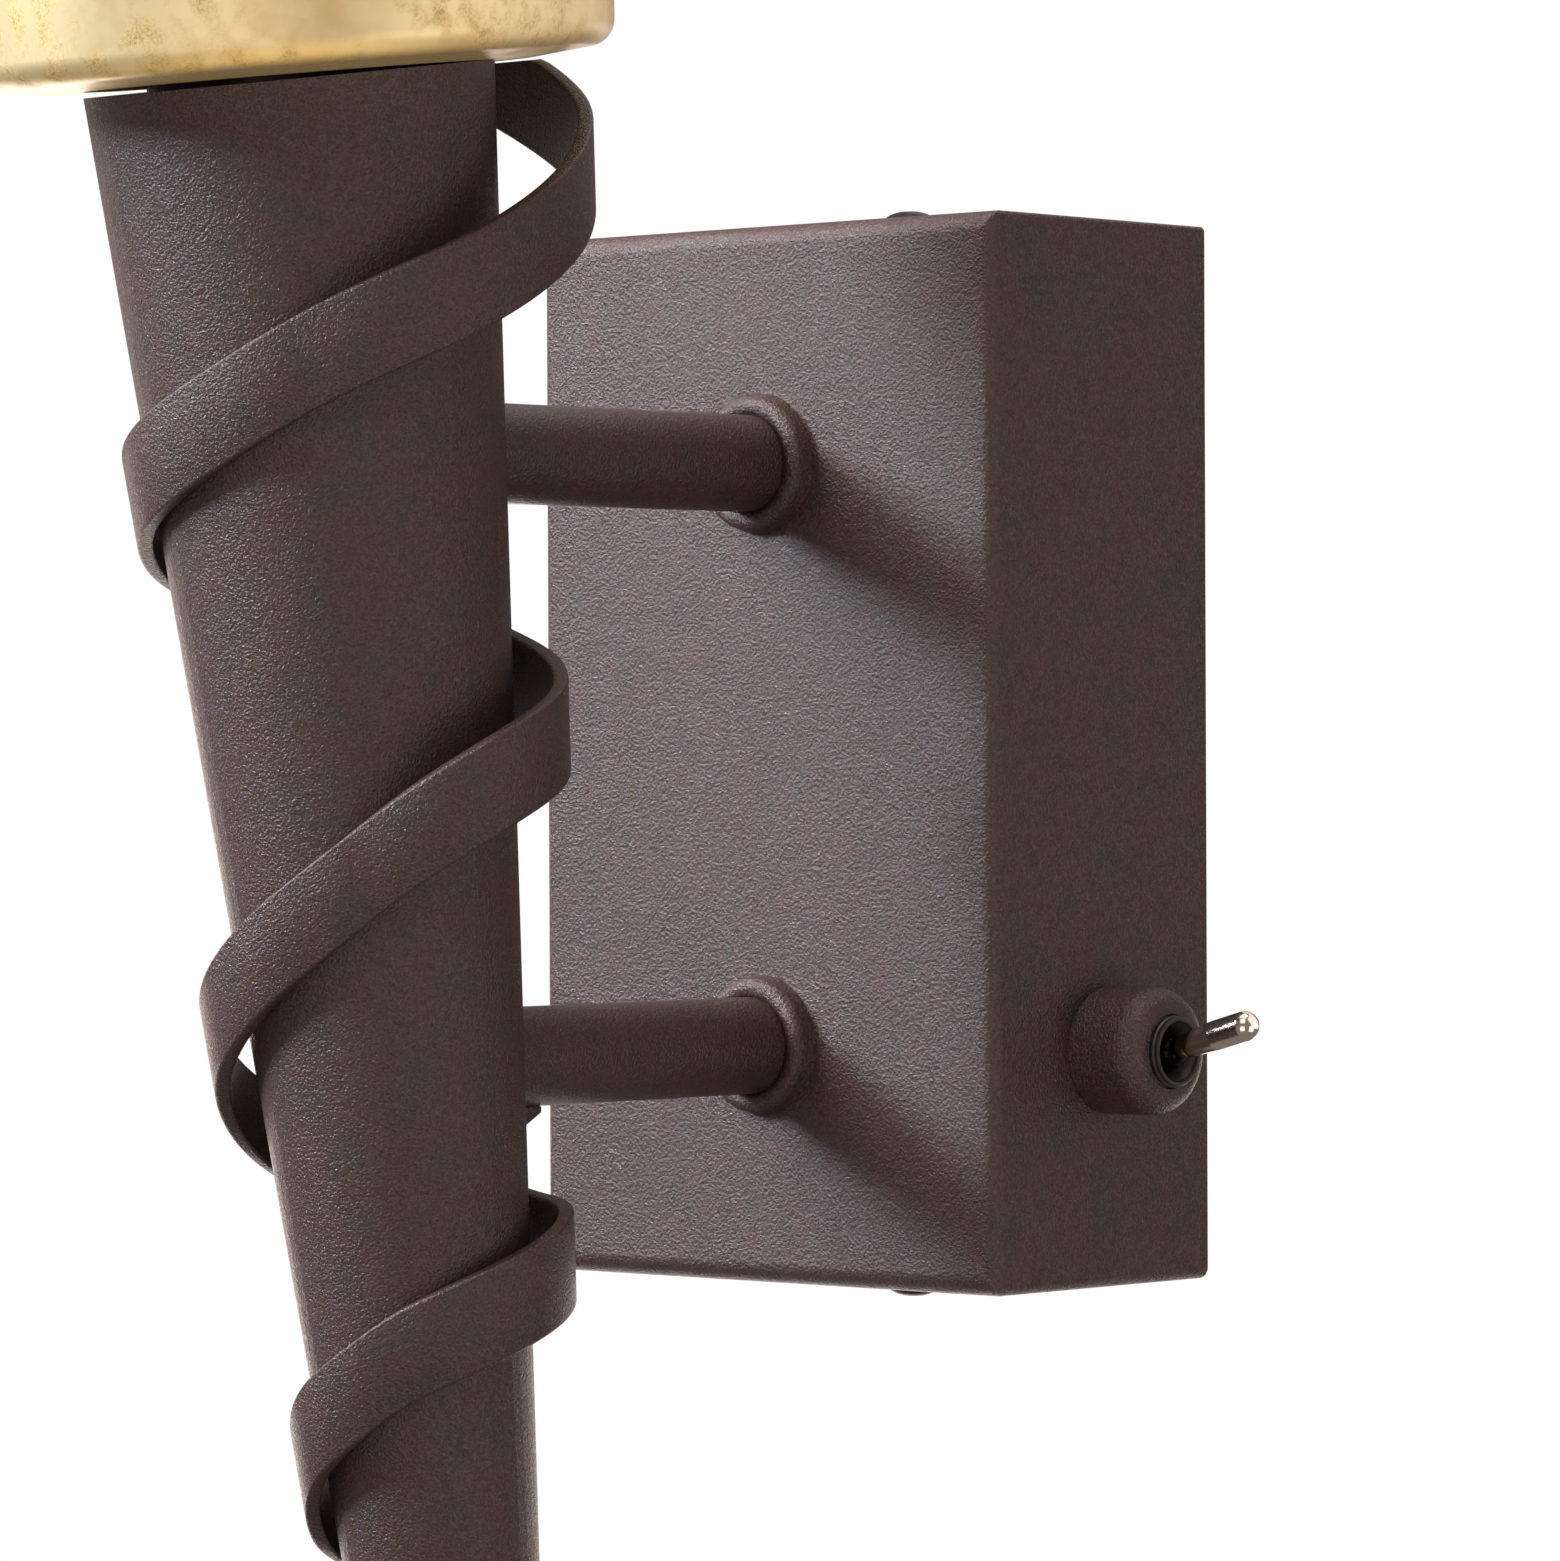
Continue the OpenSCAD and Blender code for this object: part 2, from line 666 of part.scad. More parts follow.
// ---------------------------------------------------------------- lampholder and bulb

module lampholder() {
    color("#efece4") bowl_frame() difference() {
        union() {
            translate([0, 0, holder_z]) linear_extrude(flange_t) round_rect(flange_l, leg_w, 3);
            translate([0, 0, holder_z]) cylinder(d = holder_d, h = flange_t + holder_h);
            translate([0, 0, holder_z - holder_boss_h]) cylinder(d = 16, h = holder_boss_h + 1);
        }
        for (x = [-1, 1]) translate([x * holder_fix_x, 0, holder_z - 1]) cylinder(d = 3.2, h = flange_t + 2);
        translate([0, 0, holder_top_z - bulb_base_sink])
            linear_extrude(bulb_base_sink + 1)
                square([pinch_w + 2 * slot_clear, pinch_t + 2 * slot_clear], center = true);
    }
}

module lampholder_screws() {
    color(steel) bowl_frame() for (x = [-1, 1]) translate([x * holder_fix_x, 0, holder_z + flange_t]) {
        translate([0, 0, -flange_t - foot_t - 1]) cylinder(d = 2.4, h = flange_t + foot_t + 1);
        cylinder(d = 4.6, h = 1.6);
    }
}

// Moulded bulb base: a flat plug in the lampholder's slot and a collar under the glass
module bulb_base() {
    color("#f2f0ea") bowl_frame() {
        translate([0, 0, holder_top_z - bulb_base_sink]) linear_extrude(bulb_base_sink)
            square([pinch_w, pinch_t], center = true);
        translate([0, 0, holder_top_z]) cylinder(d1 = bulb_d - 1, d2 = bulb_d + 1, h = bulb_base_h);
    }
}

module bulb_outline(inset) {
    r = bulb_d / 2 - inset;
    top = bulb_l - bulb_d / 2;
    union() {
        translate([0, inset]) square([r, top - inset]);
        intersection() {
            translate([0, top]) circle(r = r);
            translate([0, top]) square([r, r]);
        }
    }
}

module bulb_glass() {
    color([0.95, 0.93, 0.86, 0.6]) bowl_frame() translate([0, 0, bulb_z]) rotate_extrude() difference() {
        bulb_outline(0);
        bulb_outline(bulb_glass_wall);
    }
}

// Light strip inside the glass: a four-sided post with rows of small chips
module bulb_leds() {
    post = 6;
    post_h = bulb_l - bulb_d / 2 - 4;
    rows = 5;
    color("#e6d27a") bowl_frame() translate([0, 0, bulb_z + bulb_glass_wall]) {
        translate([-post / 2, -post / 2, 0]) cube([post, post, post_h]);
        for (a = [0 : 90 : 270], i = [0 : rows - 1]) rotate([0, 0, a])
            translate([post / 2 - 0.1, -1.4, 2 + i * (post_h - 6) / (rows - 1)]) cube([0.9, 2.8, 2.8]);
    }
}

// ---------------------------------------------------------------- switch

module switch_boss() {
    r = boss_d / 2;
    color(bronze) switch_frame() rotate_extrude() difference() {
        union() {
            square([r, boss_h - boss_round]);
            square([r - boss_round, boss_h]);
            translate([r - boss_round, boss_h - boss_round]) circle(r = boss_round);
        }
        translate([0, -1]) square([bushing_r + arm_hole_clear, boss_h + 2]);
    }
}

module switch_bushing() {
    color(black) difference() {
        switch_frame() rotate_extrude() difference() {
            translate([0, -bushing_in]) square([bushing_r, bushing_in + bushing_out]);
            union() {
                translate([0, pivot_out - 6]) square([ball_r + ball_clear, bushing_out]);
                polygon([[0, pivot_out], [ball_r + ball_clear, pivot_out], [mouth_r, bushing_out - 0.8],
                    [mouth_r, bushing_out + 1], [0, bushing_out + 1]]);
            }
        }
        translate(pivot_point()) rotate([90, 0, 0]) cylinder(r = pin_r, h = bushing_d + 2, center = true);
    }
}

function pivot_point() = switch_at + [pivot_out, 0, 0];

module switch_nut() {
    color(steel) switch_frame() translate([0, 0, -cover_wall - switch_nut_t]) difference() {
        hex(17, switch_nut_t);
        translate([0, 0, -1]) cylinder(d = bushing_d, h = switch_nut_t + 2);
    }
}

module switch_body() {
    color("#2b2b2d")
        translate(switch_at + [-bushing_in - body_size[0], -body_size[1] / 2, -body_size[2] / 2])
        cube(body_size);
}

module switch_terminals() {
    color(brass) for (y = [-1, 1])
        translate(switch_at + [-bushing_in - body_size[0] - terminal_l, y * terminal_y, 0])
        difference() {
            translate([0, -terminal_w / 2, -terminal_l / 2]) cube([terminal_l, terminal_w, terminal_l]);
            translate([terminal_l - 3.5, 0, -terminal_l]) cylinder(d = 2.4, h = 2 * terminal_l);
        }
}

module switch_pin() {
    color(steel) translate(pivot_point()) rotate([90, 0, 0])
        cylinder(r = pin_r, h = 2 * (bushing_r - 0.3), center = true);
}

// The lever is drawn as it stands at rest, thrown up
module switch_lever() {
    color("silver") translate(pivot_point()) rotate([0, -lever_throw, 0]) difference() {
        union() {
            sphere(r = ball_r);
            rotate([0, 90, 0]) rotate_extrude() union() {
                square([lever_d / 2 * 0.8, lever_l - lever_d / 2]);
                polygon([[0, 3], [lever_d / 2 * 0.8, 3], [lever_d / 2 * 0.8, 4.5],
                    [lever_d / 2, lever_l * 0.55], [lever_d / 2, lever_l - lever_d / 2],
                    [0, lever_l - lever_d / 2]]);
                translate([0, lever_l - lever_d / 2]) intersection() {
                    circle(d = lever_d);
                    square(lever_d);
                }
            }
        }
        rotate([90, 0, 0]) cylinder(r = pin_r + pin_clear, h = 20, center = true);
    }
}

// ---------------------------------------------------------------- wiring

module block_frame() {
    translate(block_at) rotate([90, 0, 0]) children();
}

module terminal_block() {
    color("#f1efe8") block_frame() difference() {
        union() {
            translate([-block_w / 2, -block_h / 2, 0]) cube([block_w, block_h, block_foot_t]);
            for (i = [-1 : 1]) translate([i * pole_pitch, 0, pole_axis_h]) {
                rotate([90, 0, 0]) cylinder(d = 8.4, h = block_h, center = true);
                for (y = [-1, 1]) translate([0, y * block_h * 0.27, 0])
                    cylinder(d = 6.4, h = block_t - pole_axis_h);
            }
        }
        for (i = [-1 : 1]) translate([i * pole_pitch, 0, pole_axis_h]) {
            rotate([90, 0, 0]) cylinder(d = pole_tube_d, h = block_h + 2, center = true);
            for (y = [-1, 1]) translate([0, y * block_h * 0.27, 0]) cylinder(d = 4.2, h = block_t);
        }
        for (i = [0, 1]) translate([(i - 0.5) * pole_pitch, 0, -1]) cylinder(d = 1.2, h = 0.5);
        translate([0, 0, -1]) cylinder(d = 3.2, h = 4);
    }
}

module terminal_tubes() {
    color(brass) block_frame() for (i = [-1 : 1]) translate([i * pole_pitch, 0, pole_axis_h]) difference() {
        rotate([90, 0, 0]) cylinder(d = pole_tube_d, h = block_h - 4, center = true);
        rotate([90, 0, 0]) cylinder(d = pole_bore_d, h = block_h, center = true);
        for (y = [-1, 1]) translate([0, y * block_h * 0.27, 0]) cylinder(d = pole_screw_d, h = 6);
    }
}

module terminal_screws() {
    color(steel) block_frame() for (i = [-1 : 1], y = [-1, 1])
        translate([i * pole_pitch, y * block_h * 0.27, pole_axis_h + 1.2]) difference() {
            cylinder(d = pole_screw_d, h = 4.6);
            translate([-2, -0.3, 4]) cube([4, 0.6, 1]);
        }
}

// Short screw from behind that holds the block on the bracket
module terminal_fixing_screw() {
    color(steel) block_frame() translate([0, 0, -bracket_t]) cylinder(d = 2.9, h = bracket_t + 2.6);
}

module earth_screw() {
    color(brass) translate([earth_at[0], -bracket_t, earth_at[1]]) rotate([90, 0, 0]) {
        difference() {
            translate([0, 0, core_d + 0.1]) cylinder(d = 7, h = 2.6);
            translate([-4, -0.4, core_d + 1.9]) cube([8, 0.8, 2]);
        }
        translate([0, 0, -bracket_t]) cylinder(d = 3.9, h = bracket_t + core_d + 0.2);
    }
}

// Where the cable's sheath ends inside the box, and its way through the arm and up the torch
sheath_end = [-6, inner_front_y + 16, arm_zs[0] - 14];
cable_route = concat(
    [sheath_end, [-2, inner_front_y + 13, arm_zs[0] - 4], [0, inner_front_y + 8, arm_zs[0] - 0.5],
        [0, inner_front_y, arm_zs[0]], [0, (inner_front_y + back_y(arm_zs[0])) / 2, arm_zs[0]],
        [0, back_y(arm_zs[0]) + 4, arm_zs[0]], [0, back_y(arm_zs[0]) - 4, arm_zs[0] + 0.5]],
    [for (p = [[0, 9, torch_up - 42], [0, 3, torch_up - 30], [0, 0, torch_up - 18]]) torch_point(p)],
    [for (z = [tube_bottom_z - 2, 0, tube_top_z, holder_z - holder_boss_h]) bowl_point([0, 0, z])]
);
function bowl_point(p) = torch_point([p[0], p[1] * cos(bowl_tip) + p[2] * sin(bowl_tip),
    torch_up - p[1] * sin(bowl_tip) + p[2] * cos(bowl_tip)]);

module lamp_cable() {
    color("#e8e6e0") swept_tube(smooth_path(cable_route, 4), cable_d);
}

// Where a core enters the block: pole -1, 0 or 1, on its upper side
function pole_mouth(i, side) =
    [block_at[0] + i * pole_pitch, block_at[1] - pole_axis_h, block_at[2] + side * (block_h / 2 - 4)];
// How far aside of the switch's middle a wire comes down to its terminal
wire_aside = 8;
function terminal_top(y) = switch_at + [-bushing_in - body_size[0] - 3.5, y * terminal_y, terminal_l / 2];

module live_wire() {
    route = [sheath_end + [1.2, 1, -1], sheath_end + [4, 1, -12], [12, switch_y, 0],
        [18, switch_y - wire_aside, -24], terminal_top(-1) + [0, 0, 8], terminal_top(-1) + [0, 0, -2]];
    color("#6b3a1e") swept_tube(smooth_path(route, 6), core_d, 6);
}

module neutral_wire() {
    route = [sheath_end + [-1.2, 1, -1], sheath_end + [-3, 6, -10], pole_mouth(0, 1) + [0, -3, 12],
        pole_mouth(0, 1) + [0, 0, 5], pole_mouth(0, 1)];
    color("#2c5fb0") swept_tube(smooth_path(route, 6), core_d, 6);
}

module switch_wire() {
    route = [pole_mouth(1, 1), pole_mouth(1, 1) + [0, 0, 6], pole_mouth(1, 1) + [7, -4, 9],
        [11, switch_y + wire_aside + 1, -6], [16, switch_y + wire_aside, -28],
        terminal_top(1) + [0, 0, 8], terminal_top(1) + [0, 0, -2]];
    color("#1f1f1f") swept_tube(smooth_path(route, 6), core_d, 6);
}

module earth_wire() {
    route = [pole_mouth(-1, -1), pole_mouth(-1, -1) + [0, 0, -5], pole_mouth(-1, -1) + [4, 1, -14],
        [0, -5, earth_at[1] - 6], [12, earth_y, earth_at[1] - 1],
        [earth_at[0] - 6, earth_y, earth_at[1]], [earth_at[0] - 2.6, earth_y, earth_at[1]]];
    color("#7fa82c") swept_tube(smooth_path(route, 6), core_d, 6);
}

// ---------------------------------------------------------------- nodes

wall_bracket();
cable_grommet();
flange_nuts();
wall_cover();
cover_screws();
cover_screw_washers();
upper_arm();
lower_arm();
arm_weld_rings();
arm_gusset();
torch_body();
torch_tip();
torch_cap();
spiral_ribbon();
bowl_neck();
gold_bowl();
threaded_tube();
tube_nuts();
bowl_washer();
lampholder_bracket();
lampholder();
lampholder_screws();
bulb_base();
bulb_glass();
bulb_leds();
switch_boss();
switch_bushing();
switch_nut();
switch_body();
switch_terminals();
switch_pin();
switch_lever();
terminal_block();
terminal_tubes();
terminal_screws();
terminal_fixing_screw();
earth_screw();
lamp_cable();
live_wire();
switch_wire();
neutral_wire();
earth_wire();
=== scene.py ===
import math

import bmesh
import bpy
from mathutils import Matrix, Vector


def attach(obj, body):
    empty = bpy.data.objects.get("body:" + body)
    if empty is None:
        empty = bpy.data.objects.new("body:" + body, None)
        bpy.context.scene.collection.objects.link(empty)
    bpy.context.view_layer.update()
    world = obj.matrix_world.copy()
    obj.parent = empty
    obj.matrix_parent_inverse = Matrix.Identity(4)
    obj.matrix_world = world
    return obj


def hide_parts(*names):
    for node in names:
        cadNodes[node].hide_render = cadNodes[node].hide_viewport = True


# Torch sconce: a leaning bronze torch with a spiral ribbon and a gilded bowl, on a wall box with a switch.
# Sizes are in millimetres and are turned to metres where they are used. +Z is up and +Y goes into the wall.

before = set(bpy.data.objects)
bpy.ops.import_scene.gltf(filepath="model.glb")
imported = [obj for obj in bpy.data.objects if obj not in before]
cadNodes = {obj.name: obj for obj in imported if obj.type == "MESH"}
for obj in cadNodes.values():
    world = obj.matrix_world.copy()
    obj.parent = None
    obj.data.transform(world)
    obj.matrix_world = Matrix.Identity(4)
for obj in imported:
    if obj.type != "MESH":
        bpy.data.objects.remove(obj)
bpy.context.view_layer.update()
mm = 0.001

torch = {"lean": 7.9, "axisY": -148.4, "midDiameter": 48.8, "taper": 4.0, "up": 105.4, "bowlTip": -1.3}
box = {"depth": 55, "armHeights": (48, -48)}
switch = {"at": (50, -26, -48.5), "pivotOut": 12.5}
tiny = {"join": 1e-7, "seam": 1e-6}  # metres, the gaps below which points are one


def shifted(*offset):
    return Matrix.Translation(Vector(offset) * mm)


def turnedBy(degrees, axis):
    return Matrix.Rotation(math.radians(degrees), 4, axis)


torchFrame = shifted(0, torch["axisY"], 0) @ turnedBy(torch["lean"], "X")
bowlFrame = torchFrame @ shifted(0, 0, torch["up"]) @ turnedBy(torch["bowlTip"], "X")
switchFrame = shifted(*switch["at"]) @ turnedBy(90, "Y")
torchSlope = math.tan(math.radians(torch["taper"]))


def linear(hexColour):
    channels = [int(hexColour[i:i + 2], 16) / 255 for i in (1, 3, 5)]
    return [c / 12.92 if c <= 0.04045 else ((c + 0.055) / 1.055) ** 2.4 for c in channels] + [1]


def perMetre(sizeInMm):
    return 1 / (sizeInMm * mm)


# Adds a node. An input that is given a node or a socket is linked to it, and any other is set to its value
def addNode(tree, kind, inputs=None, **settings):
    node = tree.nodes.new(kind)
    for setting, value in settings.items():
        setattr(node, setting, value)
    for socket, source in (inputs or {}).items():
        if isinstance(source, bpy.types.Node):
            source = source.outputs[0]
        if isinstance(source, bpy.types.NodeSocket):
            tree.links.new(source, node.inputs[socket])
        else:
            node.inputs[socket].default_value = source
    return node


def maths(tree, operation, *terms):
    return addNode(tree, "ShaderNodeMath", dict(enumerate(terms)), operation=operation)


# Maps a value from the first two limits to the last two, or to 0 and 1
def ranged(tree, source, *limits):
    return addNode(tree, "ShaderNodeMapRange", dict(enumerate((source, *limits))))


def newMaterial(name, sockets):
    material = bpy.data.materials.new(name)
    material.use_nodes = True
    tree = material.node_tree
    shader = tree.nodes["Principled BSDF"]
    for socket, value in sockets.items():
        shader.inputs[socket].default_value = value
    place = addNode(tree, "ShaderNodeTexCoord").outputs["Object"]
    return material, tree, shader, place


def colourMix(tree, factor, first, second):
    first, second = [linear(colour) if isinstance(colour, str) else colour for colour in (first, second)]
    return addNode(tree, "ShaderNodeMix", {0: factor, 6: first, 7: second}, data_type="RGBA").outputs[2]


def noise(tree, place, grain, **extra):
    values = {"Vector": place, "Scale": perMetre(grain)} | {k.capitalize(): v for k, v in extra.items()}
    return addNode(tree, "ShaderNodeTexNoise", values)


def dress(tree, shader, colour, roughness=None):
    tree.links.new(colour, shader.inputs["Base Color"])
    if roughness is not None:
        tree.links.new(roughness.outputs[0], shader.inputs["Roughness"])


def relief(tree, shader, height, depthInMm):
    bump = addNode(tree, "ShaderNodeBump", {"Height": height, "Strength": 1, "Distance": depthInMm * mm})
    tree.links.new(bump.outputs[0], shader.inputs["Normal"])


# ---- materials

# Sizes of the grain, then the limits of the noise that each share follows
coat = {
    "peel": 0.46, "peelDepth": 0.36, "cloud": 6, "mottle": 1.1, "fleck": 0.8,
    "clouds": (0.35, 0.65), "mottles": (0.42, 0.68), "flecks": (0.16, 0.06, 0, 0.35),
    "tops": (0.5, 0.66, 0, 0.4), "paintedPitShades": (0.5, 0.36, 0, 0.5), "gloss": (0.48, 0.66, 0.4, 0.25)}
# The top colour is a painted highlight on the peel's tops, the pit colour a painted shade in its pits
coatColours = {
    "brown": "#342B1D", "redBrown": "#43251C", "greyBrown": "#443036", "fleck": "#6C5C58", "top": "#5C4B48",
    "paintedPitShade": "#1F1713"}


# Textured polyester powder coat, sprayed and baked: the melted grains leave a fine peel that glints. The
# peel's tops are painted lighter as highlight and its pits painted darker as shade
def powderCoat():
    material, tree, shader, place = newMaterial("bronzePowderCoat", {"Roughness": 0.42, "IOR": 1.55})
    cloudShare = ranged(tree, noise(tree, place, coat["cloud"], detail=3), *coat["clouds"])
    mottleShare = ranged(tree, noise(tree, place, coat["mottle"], detail=2), *coat["mottles"])
    fleck = addNode(tree, "ShaderNodeTexVoronoi", {
        "Vector": place, "Scale": perMetre(coat["fleck"]), "Randomness": 1})
    peel = noise(tree, place, coat["peel"], detail=2, roughness=0.6)
    colour = colourMix(tree, cloudShare, coatColours["redBrown"], coatColours["brown"])
    colour = colourMix(tree, mottleShare, colour, coatColours["greyBrown"])
    colour = colourMix(tree, ranged(tree, fleck, *coat["flecks"]), colour, coatColours["fleck"])
    # Painted highlight: the tops of the peel are lightened
    colour = colourMix(tree, ranged(tree, peel, *coat["tops"]), colour, coatColours["top"])
    # Painted shade: the pits of the peel are darkened
    colour = colourMix(tree, ranged(tree, peel, *coat["paintedPitShades"]), colour, coatColours["paintedPitShade"])
    dress(tree, shader, colour, ranged(tree, peel, *coat["gloss"]))
    relief(tree, shader, peel, coat["peelDepth"])
    return material


bronzePowderCoat = powderCoat()

leaf = {
    "sheet": 26, "rub": 4, "crinkle": 0.9, "depth": 0.02, "patches": (0.38, 0.5), "rubs": (0.4, 0.65),
    "crinkles": (0.44, 0.62), "roughness": (0, 1, 0.5, 0.62), "pale": "#E9D9A8", "warm": "#E2CB94",
    "worn": "#B5A062"}


# Imitation gold leaf laid by hand and lacquered: satin metal, with crinkled patches where the leaf broke up
def goldLeafMaterial():
    material, tree, shader, place = newMaterial(
        "lacqueredGoldLeaf", {"Metallic": 0.85, "Roughness": 0.5, "Coat Weight": 0.6, "Coat Roughness": 0.3})
    patchShare = ranged(tree, noise(tree, place, leaf["sheet"], detail=2, distortion=0.6), *leaf["patches"])
    rubShare = ranged(tree, noise(tree, place, leaf["rub"], detail=3), *leaf["rubs"])
    crinkle = noise(tree, place, leaf["crinkle"], detail=4, roughness=0.65, distortion=1.4)
    broken = maths(tree, "MULTIPLY", patchShare, rubShare)
    worn = maths(tree, "MULTIPLY", broken, ranged(tree, crinkle, *leaf["crinkles"]))
    whole = colourMix(tree, rubShare, leaf["pale"], leaf["warm"])
    dress(tree, shader, colourMix(tree, worn, whole, leaf["worn"]), ranged(tree, broken, *leaf["roughness"]))
    relief(tree, shader, maths(tree, "MULTIPLY", crinkle, broken), leaf["depth"])
    return material


grained = {"cloudRatio": 9, "clouds": (0.35, 0.65), "grains": (0.3, 0.7), "glossSwing": 0.06}


# A plain finish with a cloudy tone, a grain of a given size and a slight change of gloss
def variedFinish(name, sockets, light, dark, grain, depth):
    material, tree, shader, place = newMaterial(name, sockets)
    cloud = noise(tree, place, grain * grained["cloudRatio"], detail=3)
    fine = noise(tree, place, grain, detail=2)
    base, swing = sockets["Roughness"], grained["glossSwing"]
    dress(tree, shader, colourMix(tree, ranged(tree, cloud, *grained["clouds"]), light, dark),
          ranged(tree, fine, *grained["grains"], base - swing, base + swing))
    relief(tree, shader, fine, depth)
    return material


goldLeaf = goldLeafMaterial()
# Blackened steel, oiled: dark satin with a faint blue cast
blackSteel = variedFinish(
    "blackenedSteel", {"Metallic": 0.7, "Roughness": 0.4}, "#2A2A2C", "#1C1C1E", 0.3, 0.006)
# Zinc plate, passivated: pale grey with soft spangle
zincPlate = variedFinish("zincPlate", {"Metallic": 1, "Roughness": 0.34}, "#BCBFC1", "#AFB2B5", 0.5, 0.004)
# Turned brass, lightly tarnished
turnedBrass = variedFinish(
    "turnedBrass", {"Metallic": 1, "Roughness": 0.26}, "#D8B469", "#C19A50", 0.4, 0.003)
# Injection-moulded black nylon: fine mould grain
blackNylon = variedFinish("blackNylon", {"Roughness": 0.42, "IOR": 1.53}, "#2A2A2C", "#202022", 0.25, 0.01)
# Moulded rubber, matt with bloom
blackRubber = variedFinish("blackRubber", {"Roughness": 0.72, "IOR": 1.52}, "#262626", "#1E1E1F", 0.3, 0.012)
# Moulded polyamide terminal block, slightly translucent white
whitePolyamide = variedFinish(
    "whitePolyamide", {"Roughness": 0.36, "IOR": 1.53}, "#F2F0EA", "#E8E5DD", 0.4, 0.006)
# Glazed steatite: creamy white under a clear glaze
glazedSteatite = variedFinish(
    "glazedSteatite", {"Roughness": 0.3, "IOR": 1.55, "Coat Weight": 0.8, "Coat Roughness": 0.06},
    "#F1EEE6", "#E7E2D7", 1.2, 0.01)
# Drawn PVC insulation: satin, with faint drawing marks
sheathPvc = variedFinish("whitePvc", {"Roughness": 0.45, "IOR": 1.53}, "#E9E6DF", "#DCD8CF", 0.8, 0.01)
brownPvc = variedFinish("brownPvc", {"Roughness": 0.4, "IOR": 1.53}, "#6B3B20", "#5C3019", 0.8, 0.01)
blackPvc = variedFinish("blackPvc", {"Roughness": 0.4, "IOR": 1.53}, "#232324", "#1B1B1C", 0.8, 0.01)
bluePvc = variedFinish("bluePvc", {"Roughness": 0.4, "IOR": 1.53}, "#2C5FB0", "#244F96", 0.8, 0.01)
# Silicone with phosphor over the light chips: egg-yolk yellow and matt
phosphor = variedFinish("phosphorSilicone", {"Roughness": 0.5, "IOR": 1.41}, "#EBCB4E", "#DDB93C", 0.5, 0.01)
# Fired steatite post behind the chips: pale and matt
ledPost = variedFinish("ledPostSteatite", {"Roughness": 0.5, "IOR": 1.55}, "#EFEDE6", "#E4E1D8", 0.5, 0.008)


stripes = {"yellowShare": 0.35, "yellow": "#E3C62B", "green": "#2F7D3A", "marks": 0.8, "depth": 0.01}


# Green and yellow insulation: two stripes that run along the wire, by the share of the way round it
def earthInsulation():
    material, tree, shader, place = newMaterial("greenYellowPvc", {"Roughness": 0.4, "IOR": 1.53})
    around = addNode(tree, "ShaderNodeAttribute", attribute_name="around").outputs["Fac"]
    isGreen = maths(tree, "GREATER_THAN", around, stripes["yellowShare"])
    dress(tree, shader, colourMix(tree, isGreen, stripes["yellow"], stripes["green"]))
    relief(tree, shader, noise(tree, place, stripes["marks"], detail=2), stripes["depth"])
    return material


greenYellowPvc = earthInsulation()
# Distances from the lever's pivot, then the size and gloss of the polish marks
leverFinish = {
    "ballEnd": 3.6, "brassStart": 4.2, "brassEnd": 5, "nickelStart": 7.5, "polish": 0.4,
    "gloss": (0.3, 0.7, 0.1, 0.2), "paintedBallShade": "#120F0D", "brass": "#C9A468", "nickel": "#D6CEC5"}


# Polished nickel over brass: the plating thins to brass at the root, and the ball in the bushing's mouth is
# painted near black as shade
def polishedNickel():
    material, tree, shader, place = newMaterial("polishedNickel", {"Metallic": 1, "Roughness": 0.08})
    pivot = switchFrame @ shifted(0, 0, switch["pivotOut"])
    reach = addNode(tree, "ShaderNodeVectorMath", {0: place, 1: pivot.translation}, operation="DISTANCE")
    distance = reach.outputs["Value"]
    plated = ranged(tree, distance, leverFinish["brassEnd"] * mm, leverFinish["nickelStart"] * mm)
    # Painted shade: the ball deep in the bushing's mouth is coloured near black
    outsideBallShade = ranged(tree, distance, leverFinish["ballEnd"] * mm, leverFinish["brassStart"] * mm)
    colour = colourMix(tree, plated, leverFinish["brass"], leverFinish["nickel"])
    haze = noise(tree, place, leverFinish["polish"], detail=2)
    dress(tree, shader, colourMix(tree, outsideBallShade, leverFinish["paintedBallShade"], colour),
          ranged(tree, haze, *leverFinish["gloss"]))
    return material


nickelPlate = polishedNickel()
glass = {"waves": 6, "depth": 0.02}


# Clear borosilicate glass tube: thin, with faint drawing waves
def clearGlass():
    material, tree, shader, place = newMaterial("clearGlass", {
        "Roughness": 0.02, "IOR": 1.47, "Transmission Weight": 1, "Base Color": linear("#FAFAF7")})
    relief(tree, shader, noise(tree, place, glass["waves"], detail=1), glass["depth"])
    return material


bulbGlass = clearGlass()
print("materials made")

# ---- making pieces


def newPiece(name, mesh, material, body, replaces):
    mesh.materials.clear()
    mesh.materials.append(material)
    piece = bpy.data.objects.new(name, mesh)
    bpy.context.scene.collection.objects.link(piece)
    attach(piece, body)
    if replaces:
        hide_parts(*replaces)
    return piece


def smoothed(mesh, sharpAngle=35):
    mesh.shade_smooth()
    mesh.set_sharp_from_angle(angle=math.radians(sharpAngle))
    return mesh


def fromBmesh(name, built, place=None):
    bmesh.ops.remove_doubles(built, verts=built.verts, dist=tiny["join"])
    bmesh.ops.recalc_face_normals(built, faces=built.faces)
    mesh = bpy.data.meshes.new(name)
    built.to_mesh(mesh)
    built.free()
    if place is not None:
        mesh.transform(place)
    return mesh


